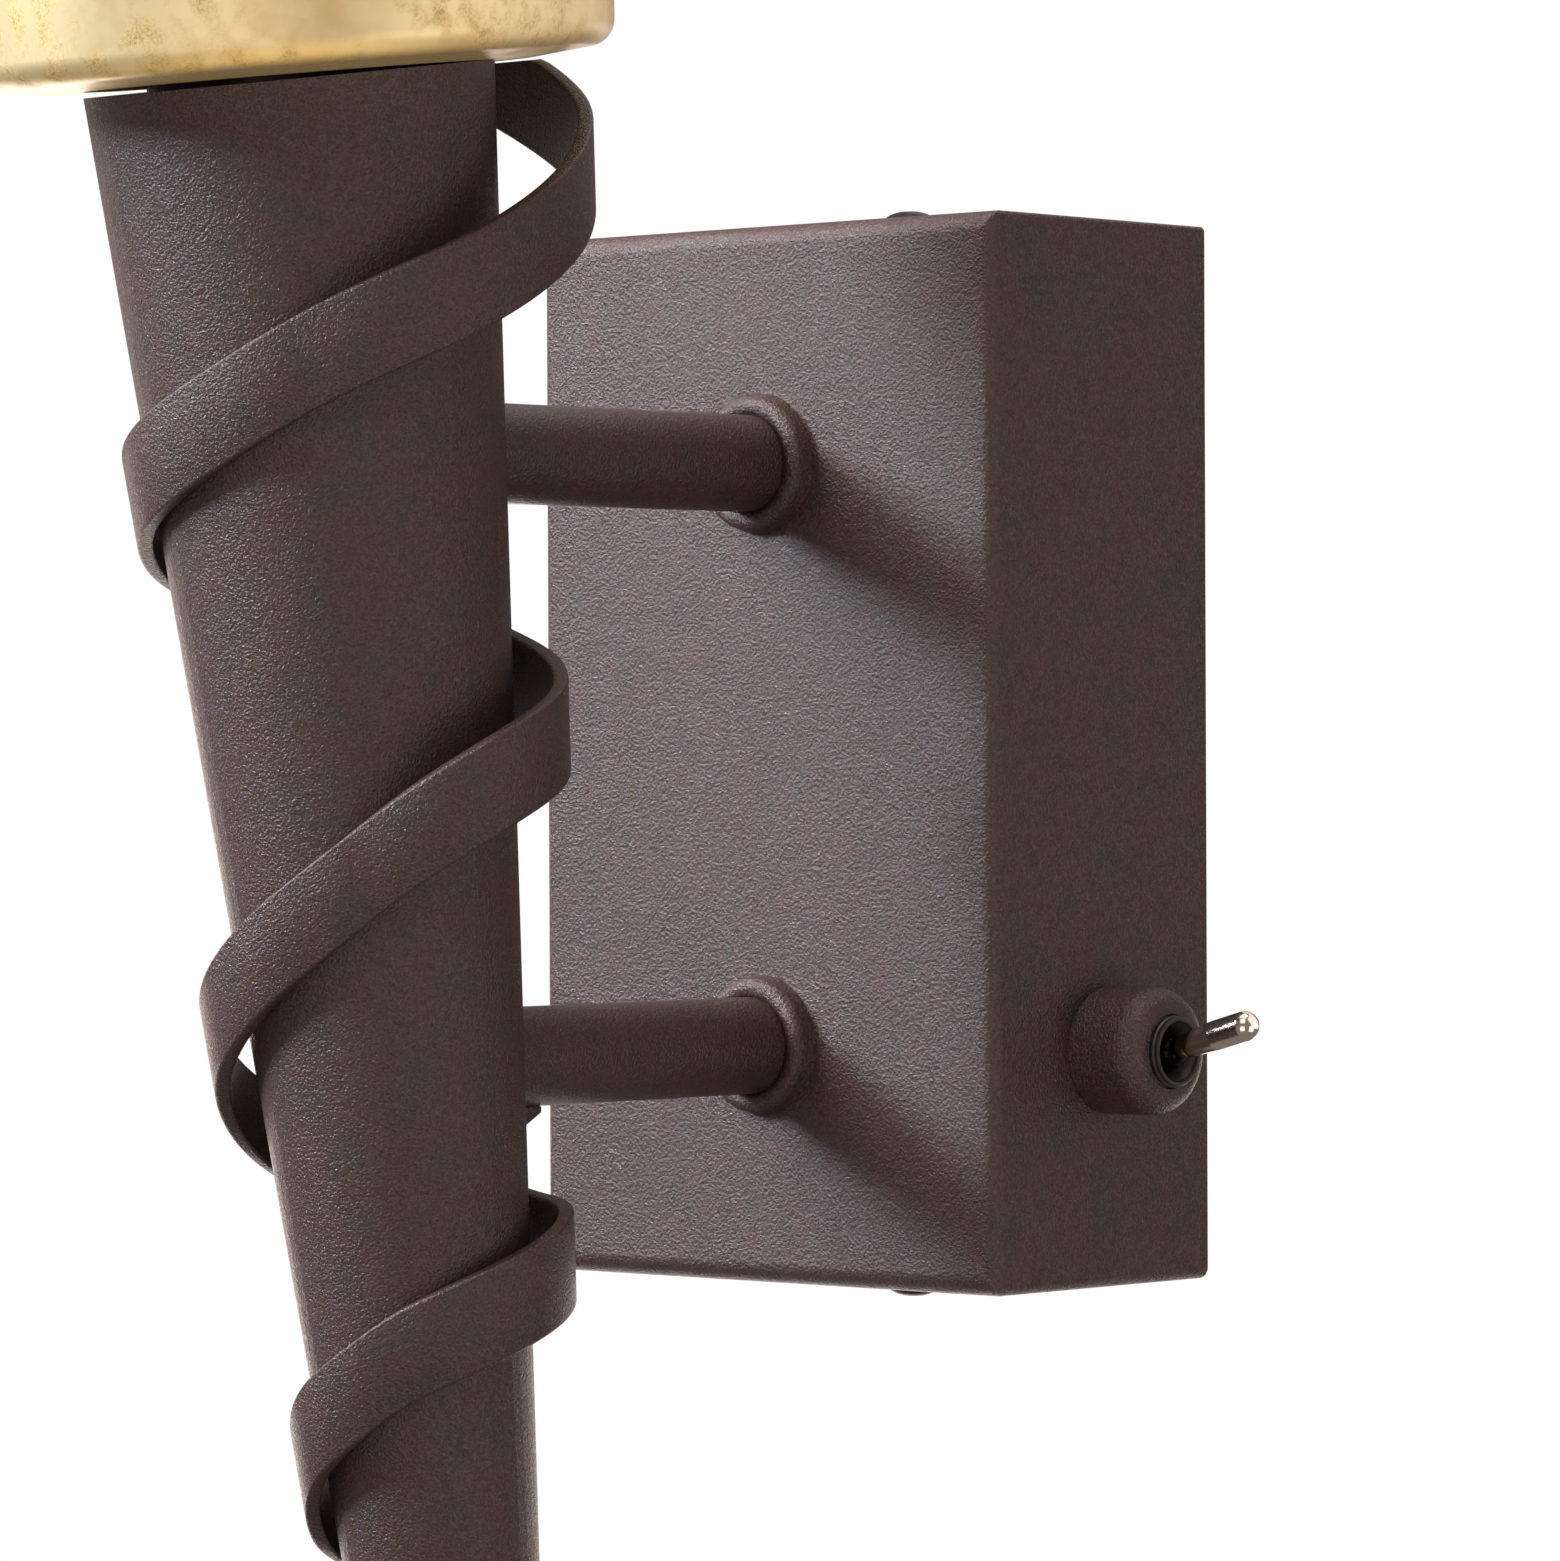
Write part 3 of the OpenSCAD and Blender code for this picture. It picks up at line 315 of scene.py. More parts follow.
# Turns a closed outline of (radius, height) in millimetres about its axis
def turned(name, outline, sides, place, closed=True):
    built = bmesh.new()
    rings = []
    for radius, height in outline:
        if radius == 0:
            rings.append([built.verts.new((0, 0, height * mm))])
        else:
            rings.append([built.verts.new((radius * mm * math.cos(math.tau * k / sides),
                                           radius * mm * math.sin(math.tau * k / sides), height * mm))
                          for k in range(sides)])
    for first, second in zip(rings, rings[1:] + ([rings[0]] if closed else [])):
        for k in range(sides):
            corners = [first[k % len(first)], first[(k + 1) % len(first)],
                       second[(k + 1) % len(second)], second[k % len(second)]]
            unique = list(dict.fromkeys(corners))
            if len(unique) > 2:
                built.faces.new(unique)
    return smoothed(fromBmesh(name, built, place))


def newTree(name, inputs):
    tree = bpy.data.node_groups.new(name, "GeometryNodeTree")
    tree.interface.new_socket("Geometry", in_out="INPUT", socket_type="NodeSocketGeometry")
    for label, kind in inputs.items():
        tree.interface.new_socket(label, in_out="INPUT", socket_type="NodeSocket" + kind)
    tree.interface.new_socket("Geometry", in_out="OUTPUT", socket_type="NodeSocketGeometry")
    return tree, tree.nodes.new("NodeGroupInput").outputs


def closeTree(tree, geometry, material):
    real = addNode(tree, "GeometryNodeRealizeInstances", {0: geometry})
    dressed = addNode(tree, "GeometryNodeSetMaterial", {"Geometry": real, "Material": material})
    addNode(tree, "NodeGroupOutput", {0: dressed})


# Runs a tree on a mesh, or on points joined in order, and returns the plain mesh
def grown(name, tree, given, values):
    seed = given
    if isinstance(given, list):
        seed = bpy.data.meshes.new(name + "Points")
        seed.from_pydata([Vector(p) * mm for p in given], [(i, i + 1) for i in range(len(given) - 1)], [])
    holder = bpy.data.objects.new(name + "Holder", seed)
    bpy.context.scene.collection.objects.link(holder)
    modifier = holder.modifiers.new(tree.name, "NODES")
    modifier.node_group = tree
    for item in tree.interface.items_tree:
        if item.in_out == "INPUT" and item.name in values:
            modifier[item.identifier] = values[item.name]
    scene = bpy.context.evaluated_depsgraph_get()
    mesh = bpy.data.meshes.new_from_object(holder.evaluated_get(scene), depsgraph=scene)
    holder.modifiers.remove(modifier)
    bpy.data.objects.remove(holder)
    mesh.name = name
    return mesh


def cleaned(mesh, place=None, sharpAngle=35):
    built = bmesh.new()
    built.from_mesh(mesh)
    bmesh.ops.remove_doubles(built, verts=built.verts, dist=tiny["seam"])
    bmesh.ops.dissolve_degenerate(built, edges=built.edges, dist=tiny["join"])
    bmesh.ops.recalc_face_normals(built, faces=built.faces)
    built.to_mesh(mesh)
    built.free()
    if place is not None:
        mesh.transform(place)
    return smoothed(mesh, sharpAngle)


# ---- spiral ribbon

# Bends from top to bottom, as in the part's source: angle round the torch, height on it, inner stand-off
ribbon = {
    "height": 15, "thickness": 2.5, "edge": 0.55, "cut": 104.6, "bite": 0.05, "step": 3, "bends": [
        (114, 112, 11), (87, 101, 12.5), (60, 91, 13.5), (42, 85, 12), (-3, 73, 8),
        (-48, 63, 0), (-93, 52, 0.5), (-138, 42, 1.5), (-183, 31, 4.5), (-228, 20, 4),
        (-273, 10, 3), (-318, 3, 6), (-363, -3, 8), (-408, -16, 0), (-453, -29, 1.5),
        (-498, -44, 4.5), (-543, -61, 7), (-588, -73, 5), (-633, -80, 3.5), (-678, -82, 4.5),
        (-768, -91, 0), (-813, -101, 2.5), (-858, -114, 2), (-903, -124, 3.5), (-948, -133, 2.5),
        (-1038, -149, 0), (-1128, -166, 0), (-1218, -184, 0)]}


# Points along the ribbon's inner face, smooth through the bends
def ribbonPath():
    bends, path = ribbon["bends"], []
    last = len(bends) - 1

    def slope(i, column):
        before, after = bends[max(i - 1, 0)], bends[min(i + 1, last)]
        return (after[column] - before[column]) / (after[0] - before[0])

    for i in range(last):
        start, end = bends[i], bends[i + 1]
        run = end[0] - start[0]
        steps = math.ceil(abs(run) / ribbon["step"])
        for k in range(steps + (i == last - 1)):
            t = k / steps
            h00, h10 = 2 * t ** 3 - 3 * t * t + 1, t ** 3 - 2 * t * t + t
            h01, h11 = 3 * t * t - 2 * t ** 3, t ** 3 - t * t
            height, standOff = [
                h00 * start[c] + h10 * slope(i, c) * run + h01 * end[c] + h11 * slope(i + 1, c) * run
                for c in (1, 2)]
            radius = torch["midDiameter"] / 2 + height * torchSlope + max(standOff, -ribbon["bite"])
            angle = math.radians(start[0] + run * t)
            path.append((radius * math.cos(angle), radius * math.sin(angle), height))
    return path


# Sweeps a rounded strip along the path: across it the section moves out and up in the torch's own frame
def ribbonTree():
    tree, given = newTree("SweptRibbon", {
        "Strip height": "Float", "Strip thickness": "Float", "Edge radius": "Float", "Taper slope": "Float",
        "Cut height": "Float", "Rings": "Int", "Material": "Material"})

    outline = addNode(tree, "GeometryNodeCurvePrimitiveQuadrilateral", {
        "Width": given["Strip thickness"], "Height": given["Strip height"]}, mode="RECTANGLE")
    rounded = addNode(tree, "GeometryNodeFilletCurve", {
        "Curve": outline, "Radius": given["Edge radius"], "Count": 3}, mode="POLY")
    section = addNode(tree, "GeometryNodeCurveToPoints", {"Curve": rounded}, mode="EVALUATED")
    size = addNode(tree, "GeometryNodeAttributeDomainSize", {0: section}, component="POINTCLOUD")
    sides = size.outputs["Point Count"]
    across = maths(tree, "ADD", sides, 1)
    along = maths(tree, "ADD", given["Rings"], 2)
    grid = addNode(tree, "GeometryNodeMeshGrid", {
        "Vertices X": along, "Vertices Y": across, "Size X": 1, "Size Y": 1})
    uv = addNode(tree, "ShaderNodeSeparateXYZ", {0: grid.outputs["UV Map"]})
    spans = maths(tree, "ADD", given["Rings"], 1)
    ringRaw = maths(tree, "MULTIPLY", uv.outputs[0], spans)
    ring = maths(tree, "ROUND", ringRaw)
    lastRing = maths(tree, "SUBTRACT", given["Rings"], 1)
    ringBefore = maths(tree, "SUBTRACT", ring, 1)
    ringLow = maths(tree, "MAXIMUM", ringBefore, 0)
    ringIndex = maths(tree, "MINIMUM", ringLow, lastRing)
    drift = maths(tree, "SUBTRACT", ringIndex, ringBefore)
    atEnd = maths(tree, "ABSOLUTE", drift)
    spread = maths(tree, "SUBTRACT", 1, atEnd)  # 0 closes the ends
    sideRaw = maths(tree, "MULTIPLY", uv.outputs[1], sides)
    side = maths(tree, "ROUND", sideRaw)
    sideIndex = maths(tree, "MODULO", side, sides)
    here = addNode(tree, "GeometryNodeInputPosition")

    def placeAt(points, index):
        return addNode(tree, "GeometryNodeSampleIndex", {"Geometry": points, "Value": here, "Index": index},
                       data_type="FLOAT_VECTOR", domain="POINT")

    onPath = placeAt(given["Geometry"], ringIndex)
    onSection = placeAt(section, sideIndex)
    sectionParts = addNode(tree, "ShaderNodeSeparateXYZ", {0: onSection})
    pathParts = addNode(tree, "ShaderNodeSeparateXYZ", {0: onPath})
    halfway = maths(tree, "MULTIPLY", given["Strip thickness"], 0.5)
    out = maths(tree, "MULTIPLY_ADD", sectionParts.outputs[0], spread, halfway)
    up = maths(tree, "MULTIPLY", sectionParts.outputs[1], spread)
    room = maths(tree, "SUBTRACT", given["Cut height"], pathParts.outputs[2])
    upCut = maths(tree, "MINIMUM", up, room)
    outward = maths(tree, "MULTIPLY_ADD", upCut, given["Taper slope"], out)
    flat = addNode(tree, "ShaderNodeCombineXYZ", {0: pathParts.outputs[0], 1: pathParts.outputs[1]})
    radial = addNode(tree, "ShaderNodeVectorMath", {0: flat}, operation="NORMALIZE")
    push = addNode(tree, "ShaderNodeVectorMath", {0: radial, "Scale": outward}, operation="SCALE")
    lift = addNode(tree, "ShaderNodeCombineXYZ", {2: upCut})
    moved = addNode(tree, "ShaderNodeVectorMath", {0: onPath, 1: push}, operation="ADD")
    placed = addNode(tree, "ShaderNodeVectorMath", {0: moved, 1: lift}, operation="ADD")
    shaped = addNode(tree, "GeometryNodeSetPosition", {"Geometry": grid, "Position": placed})
    joined = addNode(tree, "GeometryNodeMergeByDistance", {"Geometry": shaped, "Distance": tiny["seam"]})
    closeTree(tree, joined.outputs[0], given["Material"])
    return tree


path = ribbonPath()
ribbonMesh = grown("spiralRibbon", ribbonTree(), path, {
    "Strip height": ribbon["height"] * mm, "Strip thickness": ribbon["thickness"] * mm,
    "Edge radius": ribbon["edge"] * mm, "Taper slope": torchSlope, "Cut height": ribbon["cut"] * mm,
    "Rings": len(path), "Material": bronzePowderCoat})
newPiece("spiralRibbon", cleaned(ribbonMesh, torchFrame, 50), bronzePowderCoat, "light",
         ["spiral_ribbon"])
print("ribbon swept", len(ribbonMesh.polygons), "faces")

# ---- weld beads

bead = {
    "bore": 7.95, "foot": 11.6, "batter": 0.4, "height": 3.6, "crestTurn": 150, "valley": 0.72, "steps": 14,
    "sides": 160, "ripple": 2.6, "rippleDepth": 0.3}


# Outline of a bead: a steep outer side up to a round crest, then a shallow valley against the arm
def beadOutline():
    crestRadius = bead["height"] / 2
    crest = bead["foot"] - bead["batter"] - crestRadius
    turns = [math.radians(bead["crestTurn"] * k / bead["steps"]) for k in range(bead["steps"] + 1)]
    return ([(bead["bore"], 0), (bead["foot"], 0), (bead["foot"] - bead["batter"] / 2, crestRadius / 2)]
            + [(crest + crestRadius * math.cos(t), crestRadius * (1 + math.sin(t))) for t in turns]
            + [(bead["bore"], bead["height"] * bead["valley"])])


# Roughens what it is given with a slow ripple, so that no two stretches are alike
def rippleTree():
    tree, given = newTree("WeldRipple", {
        "Ripple scale": "Float", "Ripple depth": "Float", "Material": "Material"})
    ripple = addNode(tree, "ShaderNodeTexNoise", {"Scale": given["Ripple scale"], "Detail": 1})
    centred = maths(tree, "SUBTRACT", ripple, 0.5)
    amount = maths(tree, "MULTIPLY", centred, given["Ripple depth"])
    normal = addNode(tree, "GeometryNodeInputNormal")
    push = addNode(tree, "ShaderNodeVectorMath", {0: normal, "Scale": amount}, operation="SCALE")
    moved = addNode(tree, "GeometryNodeSetPosition", {"Geometry": given["Geometry"], "Offset": push})
    closeTree(tree, moved, given["Material"])
    return tree


beadPair = bmesh.new()
for height in box["armHeights"]:
    foot = shifted(0, -box["depth"], height) @ turnedBy(90, "X")
    beadPair.from_mesh(turned("bead", beadOutline(), bead["sides"], foot))
beadMesh = grown("armWeldBeads", rippleTree(), fromBmesh("beadPair", beadPair), {
    "Ripple scale": perMetre(bead["ripple"]), "Ripple depth": bead["rippleDepth"] * mm,
    "Material": bronzePowderCoat})
newPiece("armWeldBeads", cleaned(beadMesh), bronzePowderCoat, "light", ["arm_weld_rings"])

# ---- switch bushing

# Outline of the threaded neck from the outside in: two rounded ridges, a thin lip and the cone round the ball
bushing = {"sides": 96, "outline": [
    (0, -5.5), (5.9, -5.5), (5.9, 13.2), (5.45, 13.4), (5.5, 13.7), (5.85, 13.85), (5.9, 14.05), (5.8, 14.3),
    (5.4, 14.4), (5.4, 14.55), (5.6, 14.65), (5.6, 14.85), (5.45, 15), (5.1, 15), (4.98, 14.9), (4.9, 14.3),
    (4.75, 14.1), (3.6, 12.6), (3.5, 12.3), (3.5, 6.7), (3.3, 6.5), (0, 6.5)]}
bushingMesh = turned("switchBushing", bushing["outline"], bushing["sides"], switchFrame, closed=False)
newPiece("switchBushing", bushingMesh, blackNylon, "light", ["switch_bushing"])

# ---- switch boss

boss = {
    "radius": 10.5, "height": 13.5, "roundRadial": 3.8, "roundAxial": 4.2, "bore": 6.1, "foot": 0.3,
    "sides": 128, "steps": 14}


# A turned boss: a fine groove at its foot, a plain side and a long rounded shoulder down to the bore
def bossOutline():
    shoulder = [(boss["radius"] - boss["roundRadial"] * (1 - math.cos(t)),
                 boss["height"] - boss["roundAxial"] * (1 - math.sin(t)))
                for t in [math.pi / 2 * k / boss["steps"] for k in range(boss["steps"] + 1)]]
    grooved = boss["radius"] - boss["foot"]
    foot = [(boss["bore"], 0), (grooved, 0), (grooved, boss["foot"]), (boss["radius"], boss["foot"] * 2)]
    return foot + shoulder + [(boss["bore"], boss["height"])]


bossMesh = turned("switchBoss", bossOutline(), boss["sides"], switchFrame)
newPiece("switchBoss", bossMesh, bronzePowderCoat, "light", ["switch_boss"])

# ---- gilded bowl

bowl = {"radius": 50.7, "corner": 4.2, "flare": 4, "height": 76, "wall": 1.2, "hole": 5.2, "seat": 1.3,
        "neck": 22.2, "sag": 0.95, "sagRadius": 38, "sides": 224, "steps": 10}


# Outline of the spun bowl: a floor that sags towards the neck, tight corner, flared side, rolled rim, inside
def bowlOutline():
    middle = (bowl["radius"] - bowl["corner"], bowl["corner"])
    flare = math.radians(bowl["flare"])
    rimHeight = bowl["height"] - bowl["wall"] / 2
    rimRadius = (middle[0] + (bowl["corner"] - bowl["wall"] / 2) / math.cos(flare)
                 + (rimHeight - bowl["corner"]) * math.tan(flare))

    def arc(centre, radius, start, end):
        turns = [math.radians(start + (end - start) * k / bowl["steps"]) for k in range(bowl["steps"] + 1)]
        return [(centre[0] + radius * math.cos(t), centre[1] + radius * math.sin(t)) for t in turns]

    underside = [(bowl["hole"], 0), (bowl["neck"], 0), (bowl["neck"] + bowl["sag"], -bowl["sag"]),
                 (bowl["sagRadius"], -bowl["sag"])]
    return (underside + arc(middle, bowl["corner"], -90, -bowl["flare"])
            + arc((rimRadius, rimHeight), bowl["wall"] / 2, -bowl["flare"], 180 - bowl["flare"])
            + arc(middle, bowl["corner"] - bowl["wall"], -bowl["flare"], -90)
            + [(bowl["hole"], bowl["wall"])])


bowlMesh = turned("goldBowl", bowlOutline(), bowl["sides"], bowlFrame @ shifted(0, 0, bowl["seat"]))
goldBowl = newPiece("goldBowl", bowlMesh, goldLeaf, "light", ["gold_bowl"])
print("turned pieces made")

# ---- wires

wiring = {"cable": 5, "core": 2, "resolution": 10, "sides": 20}


# A round wire, smooth through its points, with its share of the way round kept for striped insulation
def wireTree():
    tree, given = newTree("RoundWire", {"Wire diameter": "Float", "Resolution": "Int", "Sides": "Int",
                                        "Material": "Material"})
    joined = addNode(tree, "GeometryNodeMeshToCurve", {"Mesh": given["Geometry"]})
    smooth = addNode(tree, "GeometryNodeCurveSplineType", {"Curve": joined}, spline_type="CATMULL_ROM")
    fine = addNode(tree, "GeometryNodeSetSplineResolution", {0: smooth, "Resolution": given["Resolution"]})
    radius = maths(tree, "MULTIPLY", given["Wire diameter"], 0.5)
    section = addNode(tree, "GeometryNodeCurvePrimitiveCircle", {
        "Resolution": given["Sides"], "Radius": radius})
    share = addNode(tree, "GeometryNodeSplineParameter").outputs["Factor"]
    marked = addNode(tree, "GeometryNodeStoreNamedAttribute", {
        "Geometry": section, "Value": share, "Name": "around"}, data_type="FLOAT", domain="POINT")
    swept = addNode(tree, "GeometryNodeCurveToMesh", {
        "Curve": fine, "Profile Curve": marked, "Fill Caps": True})
    closeTree(tree, swept, given["Material"])
    return tree


def pointsIn(placeMatrix, *points):
    return [placeMatrix @ (Vector(p) * mm) / mm for p in points]


# The routes repeat the part's source, in millimetres
wires = {
    "lampCable": ("lamp_cable", "white_sheath", sheathPvc, wiring["cable"], [
        (-6, -37.5, 34), (-2, -40.5, 44), (0, -45.5, 47.5), (0, -53.5, 48), (0, -90.5, 48), (0, -123, 48),
        (0, -131, 48.5), *pointsIn(torchFrame, (0, 9, 63.4), (0, 3, 75.4), (0, 0, 87.4)),
        *pointsIn(bowlFrame, (0, 0, -10.7), (0, 0, 0), (0, 0, 9.7), (0, 0, 13.7))]),
    "liveWire": ("live_wire", "brown_wire", brownPvc, wiring["core"], [
        (-4.8, -36.5, 33), (-2, -36.5, 22), (12, -26, 0), (18, -34, -24), (23, -34, -37.5),
        (23, -34, -47.5)]),
    "neutralWire": ("neutral_wire", "blue_wire", bluePvc, wiring["core"], [
        (-7.2, -36.5, 33), (-9, -31.5, 24), (-14, -11.4, 12.5), (-14, -8.4, 5.5), (-14, -8.4, 0.5)]),
    "switchWire": ("switch_wire", "black_wire", blackPvc, wiring["core"], [
        (-4, -8.4, 0.5), (-4, -8.4, 6.5), (3, -12.4, 9.5), (11, -17, -6), (16, -18, -28), (23, -18, -37.5),
        (23, -18, -47.5)]),
    "earthWire": ("earth_wire", "green_wire", greenYellowPvc, wiring["core"], [
        (-24, -8.4, -8.5), (-24, -8.4, -13.5), (-20, -7.4, -22.5), (0, -5, -36), (12, -3.05, -31),
        (14, -3.05, -30), (17.4, -3.05, -30)])}
wireShape = wireTree()
for name, (node, slot, material, diameter, points) in wires.items():
    wireMesh = grown(name, wireShape, points, {
        "Wire diameter": diameter * mm, "Resolution": wiring["resolution"], "Sides": wiring["sides"],
        "Material": material})
    newPiece(name, cleaned(wireMesh, sharpAngle=60), material, "light", [node])
print("wires drawn")

# ---- light chips in the bulb

ledStick = {
    "bottom": 39.1, "side": 6, "height": 25, "rows": 5, "sides": 4, "chip": (0.9, 2.8, 2.8), "firstRow": 3.4,
    "pitch": 4.75, "sink": 0.1}


# Rows of chips up each side of the post: a line of chips, turned a quarter at a time
def chipTree():
    tree, given = newTree("LightChips", {
        "Rows": "Int", "Row pitch": "Float", "Chip size": "Vector", "Post sides": "Int", "Reach": "Float",
        "Material": "Material"})
    chip = addNode(tree, "GeometryNodeMeshCube", {"Size": given["Chip size"]})
    out = addNode(tree, "ShaderNodeCombineXYZ", {0: given["Reach"]})
    aside = addNode(tree, "GeometryNodeTransform", {"Geometry": chip, "Translation": out})
    step = addNode(tree, "ShaderNodeCombineXYZ", {2: given["Row pitch"]})
    rows = addNode(tree, "GeometryNodeMeshLine", {"Count": given["Rows"], "Offset": step})
    column = addNode(tree, "GeometryNodeInstanceOnPoints", {"Points": rows, "Instance": aside})
    corners = addNode(tree, "GeometryNodeMeshLine", {"Count": given["Post sides"], "Offset": (0, 0, 0)})
    number = addNode(tree, "GeometryNodeInputIndex")
    share = maths(tree, "DIVIDE", number, given["Post sides"])
    angle = maths(tree, "MULTIPLY", share, math.tau)
    turn = addNode(tree, "ShaderNodeCombineXYZ", {2: angle})
    around = addNode(tree, "GeometryNodeInstanceOnPoints", {"Points": corners, "Instance": column,
                                                              "Rotation": turn})
    closeTree(tree, around, given["Material"])
    return tree


chipSeat = bowlFrame @ shifted(0, 0, ledStick["bottom"] + ledStick["firstRow"])
chipMesh = grown("lightChips", chipTree(), [(0, 0, 0), (0, 0, 1)], {
    "Rows": ledStick["rows"], "Row pitch": ledStick["pitch"] * mm, "Post sides": ledStick["sides"],
    "Chip size": [v * mm for v in ledStick["chip"]], "Material": phosphor,
    "Reach": (ledStick["side"] / 2 - ledStick["sink"] + ledStick["chip"][0] / 2) * mm})
newPiece("lightChips", cleaned(chipMesh, chipSeat), phosphor, "light", ["bulb_leds"])
post = bmesh.new()
postSize = Vector((ledStick["side"], ledStick["side"], ledStick["height"])) * mm
postMiddle = shifted(0, 0, ledStick["bottom"] + ledStick["height"] / 2)
bmesh.ops.create_cube(post, size=1, matrix=postMiddle @ Matrix.Diagonal((*postSize, 1)))
newPiece("lightPost", smoothed(fromBmesh("lightPost", post, bowlFrame)), ledPost, "light", None)

# ---- pieces that keep the CAD's form, with their sharp edges eased

# Each node's material slot and the width of its eased edges
eased = {
    "lampholder_bracket": ("zinc_steel", 0.25), "wall_bracket": ("zinc_steel", 0.25),
    "switch_nut": ("zinc_steel", 0.25), "flange_nuts": ("zinc_steel", 0.25),
    "switch_terminals": ("brass_parts", 0.15), "tube_nuts": ("brass_parts", 0.4),
    "lampholder": ("white_ceramic", 0.4), "terminal_block": ("white_plastic", 0.4),
    "switch_body": ("black_plastic", 0.4), "arm_gusset": ("bronze_powder", 0.3)}
# Angles in degrees, area in square millimetres. Larger faces, or those with more corners, are shaded flat
easing = {"flatAngle": 1, "sharpAngle": 40, "segments": 2, "profile": 0.5, "flatArea": 25, "corners": 4}


# Takes a CAD node's mesh, joins its flat facets and rounds the convex edges sharper than the angle
def easedCopy(node, width):
    source, sharpAngle = cadNodes[node], math.radians(easing["sharpAngle"])
    built = bmesh.new()
    built.from_mesh(source.data)
    built.transform(source.matrix_world)
    bmesh.ops.remove_doubles(built, verts=built.verts, dist=tiny["seam"])
    bmesh.ops.dissolve_limit(built, angle_limit=math.radians(easing["flatAngle"]), verts=built.verts,
                             edges=built.edges)
    sharp = [edge for edge in built.edges
             if len(edge.link_faces) == 2 and edge.is_convex and edge.calc_face_angle() > sharpAngle]
    bmesh.ops.bevel(built, geom=sharp, offset=width * mm, offset_type="OFFSET", segments=easing["segments"],
                    profile=easing["profile"], affect="EDGES", clamp_overlap=True)
    openEdges = sum(len(edge.link_faces) != 2 for edge in built.edges)
    print("eased", node, len(built.faces), "faces,", openEdges, "open edges")
    mesh = fromBmesh(node + "Eased", built)
    oldNormals = mesh.attributes.get("custom_normal")  # they belong to the faces before easing
    if oldNormals is not None:
        mesh.attributes.remove(oldNormals)
    mesh.set_sharp_from_angle(angle=sharpAngle)
    for face in mesh.polygons:
        isSmall = face.area < easing["flatArea"] * mm ** 2
        face.use_smooth = isSmall and len(face.vertices) <= easing["corners"]
    return mesh


# ---- finishes of the CAD nodes that stay

finishes = {
    bronzePowderCoat: [
        "wall_cover", "upper_arm", "lower_arm", "arm_gusset", "torch_body", "torch_tip", "torch_cap"],
    blackSteel: ["cover_screws", "cover_screw_washers", "bowl_neck"],
    zincPlate: [
        "wall_bracket", "flange_nuts", "bowl_washer", "lampholder_bracket", "lampholder_screws", "switch_nut",
        "switch_pin", "terminal_screws", "terminal_fixing_screw"],
    turnedBrass: ["threaded_tube", "tube_nuts", "switch_terminals", "terminal_tubes", "earth_screw"],
    blackNylon: ["switch_body"],
    blackRubber: ["cable_grommet"],
    whitePolyamide: ["terminal_block"],
    glazedSteatite: ["lampholder", "bulb_base"],
    bulbGlass: ["bulb_glass"],
    nickelPlate: ["switch_lever"],
}
for material, names in finishes.items():
    for name in names:
        if name in eased:
            slot, width = eased[name]
            newPiece(name + "Eased", easedCopy(name, width), material, "light", [name])
            continue
        for materialSlot in cadNodes[name].material_slots:
            materialSlot.link = "OBJECT"
            materialSlot.material = material
print("CAD nodes dressed")

# ---- camera, floor and light

view = {"azimuth": 41.939, "pitch": -0.233, "roll": -0.214, "lens": 165.22, "sensor": 36,
        "at": (793.7, -933.8, 0.5)}
cameraData = bpy.data.cameras.new("photoCamera")
cameraData.sensor_width = cameraData.sensor_height = view["sensor"]
cameraData.lens = view["lens"]
camera = bpy.data.objects.new("photoCamera", cameraData)
camera.matrix_world = (
    Matrix.Translation([v * mm for v in view["at"]])
    @ Matrix.Rotation(math.radians(view["azimuth"]), 4, "Z")
    @ Matrix.Rotation(math.radians(90 + view["pitch"]), 4, "X")
    @ Matrix.Rotation(math.radians(view["roll"]), 4, "Z"))
bpy.context.scene.collection.objects.link(camera)
bpy.context.scene.camera = camera

floor = {"radius": 1400, "height": -800, "edge": 40, "sides": 128}
floorOutline = [(0, 0), (floor["radius"], 0), (floor["radius"], -floor["edge"]), (0, -floor["edge"])]
floorMesh = turned("floor", floorOutline, floor["sides"], shifted(0, 0, floor["height"]), closed=False)
floorPiece = bpy.data.objects.new("floor", floorMesh)
bpy.context.scene.collection.objects.link(floorPiece)
# Pale painted board, matt
floorPaint = variedFinish("paleFloorPaint", {"Roughness": 0.7, "IOR": 1.5}, "#F4F3F1", "#EFEEEB", 6, 0.02)
floorMesh.materials.append(floorPaint)
# As in the photo, no light comes back from below
floorPiece.visible_diffuse = floorPiece.visible_glossy = False

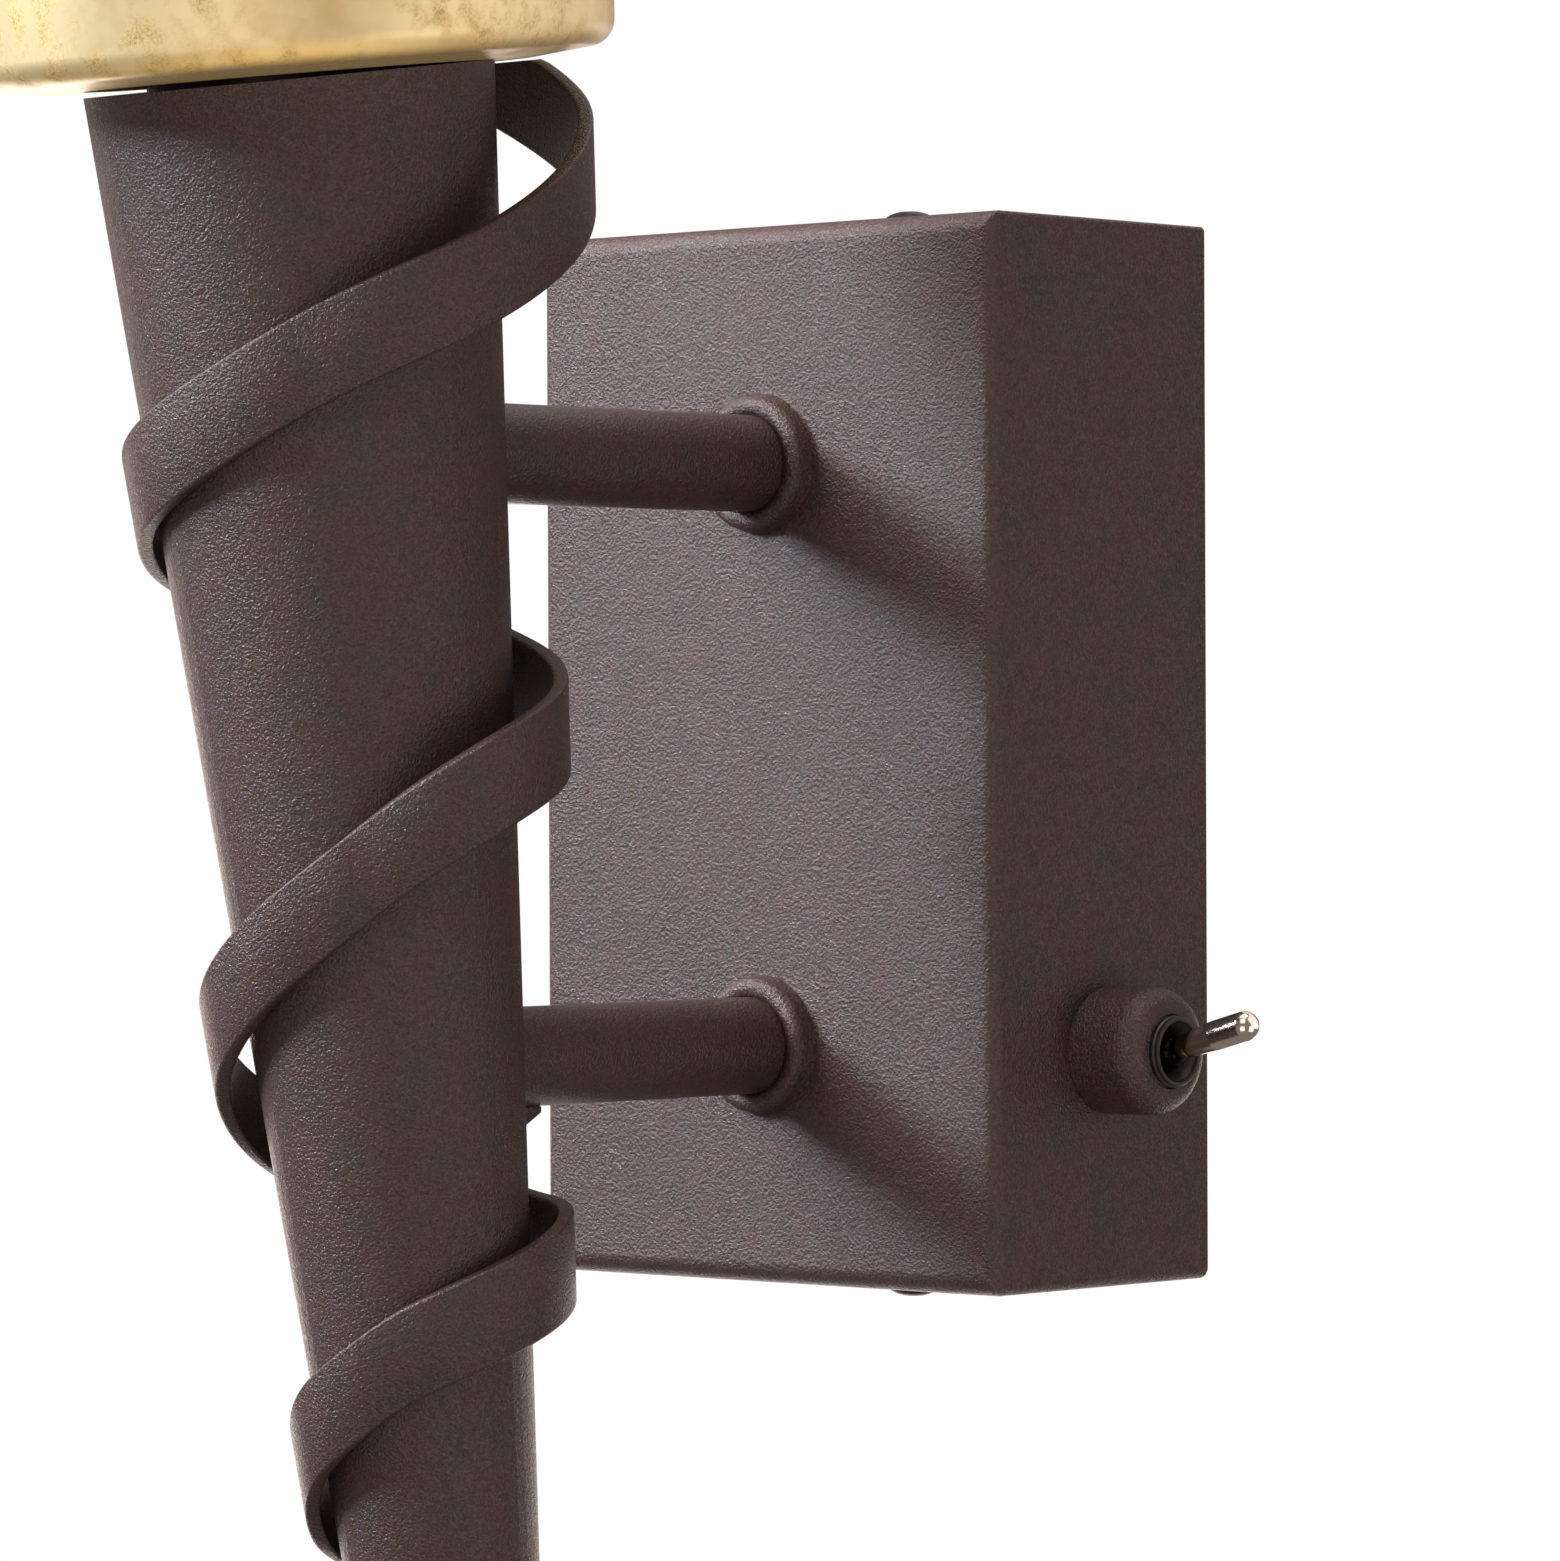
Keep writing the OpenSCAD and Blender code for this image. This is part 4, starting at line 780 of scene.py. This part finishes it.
# Lights: the way to each one from the object, how wide it looks from there, and its radiance. One small
# cool key lamp casts the arms' crisp shadows. Large warm softboxes stand all round, and the cards light
# one piece each
lightRig = {
    "aim": (0, -90, -20), "warm": "#FFEFE7", "cool": "#E0EEFF", "softbox": {"distance": 1900, "spread": 34}}
lamps = {
    "key": {
        "azimuth": -42.9, "elevation": 22.1, "distance": 2200, "spread": 12, "radiance": 114, "disk": True},
    "highLeft": {"azimuth": -45, "elevation": 45, "radiance": 12.3},
    "frontLow": {"azimuth": 25, "elevation": -16, "radiance": 1.7},
    "rightLow": {"azimuth": 95, "elevation": -16, "radiance": 1.95},
    "backRight": {"azimuth": 130, "elevation": 12, "radiance": 0.47},
    "backLow": {"azimuth": 200, "elevation": -16, "radiance": 1.6},
    "backLeft": {"azimuth": 235, "elevation": -16, "radiance": 3.1},
    "frontHigh": {"azimuth": 25, "elevation": 45, "radiance": 1.8},
    "backHigh": {"azimuth": 200, "elevation": 45, "radiance": 0.8},
    "left": {"azimuth": -88, "elevation": 4, "radiance": 0.2},
    "overhead": {"azimuth": 0, "elevation": 88, "radiance": 4.9},
    "goldBackCard": {
        "azimuth": 150, "elevation": 2, "distance": 1500, "spread": 80, "radiance": 0.56, "onto": "gold"},
    "goldLowCard": {
        "azimuth": 60, "elevation": -80, "distance": 1500, "spread": 60, "radiance": 0.8, "onto": "gold",
        "tint": "#FFDC90"},
    "goldCornerCard": {
        "azimuth": 50, "elevation": -48, "distance": 1500, "spread": 34, "radiance": 0.6, "onto": "gold",
        "tint": "#FFE4A8"},
    "leverCard": {
        "azimuth": 130, "elevation": 26, "distance": 1500, "spread": 76, "radiance": 1.25, "onto": "lever"}}
litAlone = {"gold": [goldBowl], "lever": [cadNodes["switch_lever"]]}
lightGroups = {}
for name, pieces in litAlone.items():
    lightGroups[name] = bpy.data.collections.new(name + "Only")
    for piece in pieces:
        lightGroups[name].objects.link(piece)
for name, given in lamps.items():
    lamp = lightRig["softbox"] | given
    isKey = lamp.get("disk", False)
    lightData = bpy.data.lights.new(name, "AREA")
    lightData.shape = "DISK" if isKey else "SQUARE"
    lightData.size = 2 * lamp["distance"] * mm * math.tan(math.radians(lamp["spread"] / 2))
    area = lightData.size ** 2 * (math.pi / 4 if isKey else 1)
    lightData.energy = lamp["radiance"] * math.pi * area
    lightData.color = linear(lamp.get("tint", lightRig["cool" if isKey else "warm"]))[:3]
    light = bpy.data.objects.new(name, lightData)
    turn, rise = math.radians(lamp["azimuth"]), math.radians(lamp["elevation"])
    way = Vector((math.sin(turn) * math.cos(rise), -math.cos(turn) * math.cos(rise), math.sin(rise)))
    at = (Vector(lightRig["aim"]) + way * lamp["distance"]) * mm
    light.matrix_world = Matrix.Translation(at) @ (-way).to_track_quat("-Z", "Y").to_matrix().to_4x4()
    light.visible_camera = False
    if "onto" in lamp:
        light.light_linking.receiver_collection = lightGroups[lamp["onto"]]
    bpy.context.scene.collection.objects.link(light)

# The room: pure white to the camera, dim and warm to everything that it lights
room = {"glow": 0.27}
world = bpy.data.worlds.new("room")
world.use_nodes = True
bpy.context.scene.world = world
worldTree = world.node_tree
worldTree.nodes.clear()
dim = addNode(worldTree, "ShaderNodeBackground", {
    "Color": linear(lightRig["warm"]), "Strength": room["glow"]})
white = addNode(worldTree, "ShaderNodeBackground", {"Color": (1, 1, 1, 1), "Strength": 1})
rays = addNode(worldTree, "ShaderNodeLightPath")
chosen = addNode(worldTree, "ShaderNodeMixShader", {0: rays.outputs["Is Camera Ray"], 1: dim, 2: white})
addNode(worldTree, "ShaderNodeOutputWorld", {"Surface": chosen})
bpy.context.scene.view_settings.view_transform = "Standard"
print("camera and lights set")
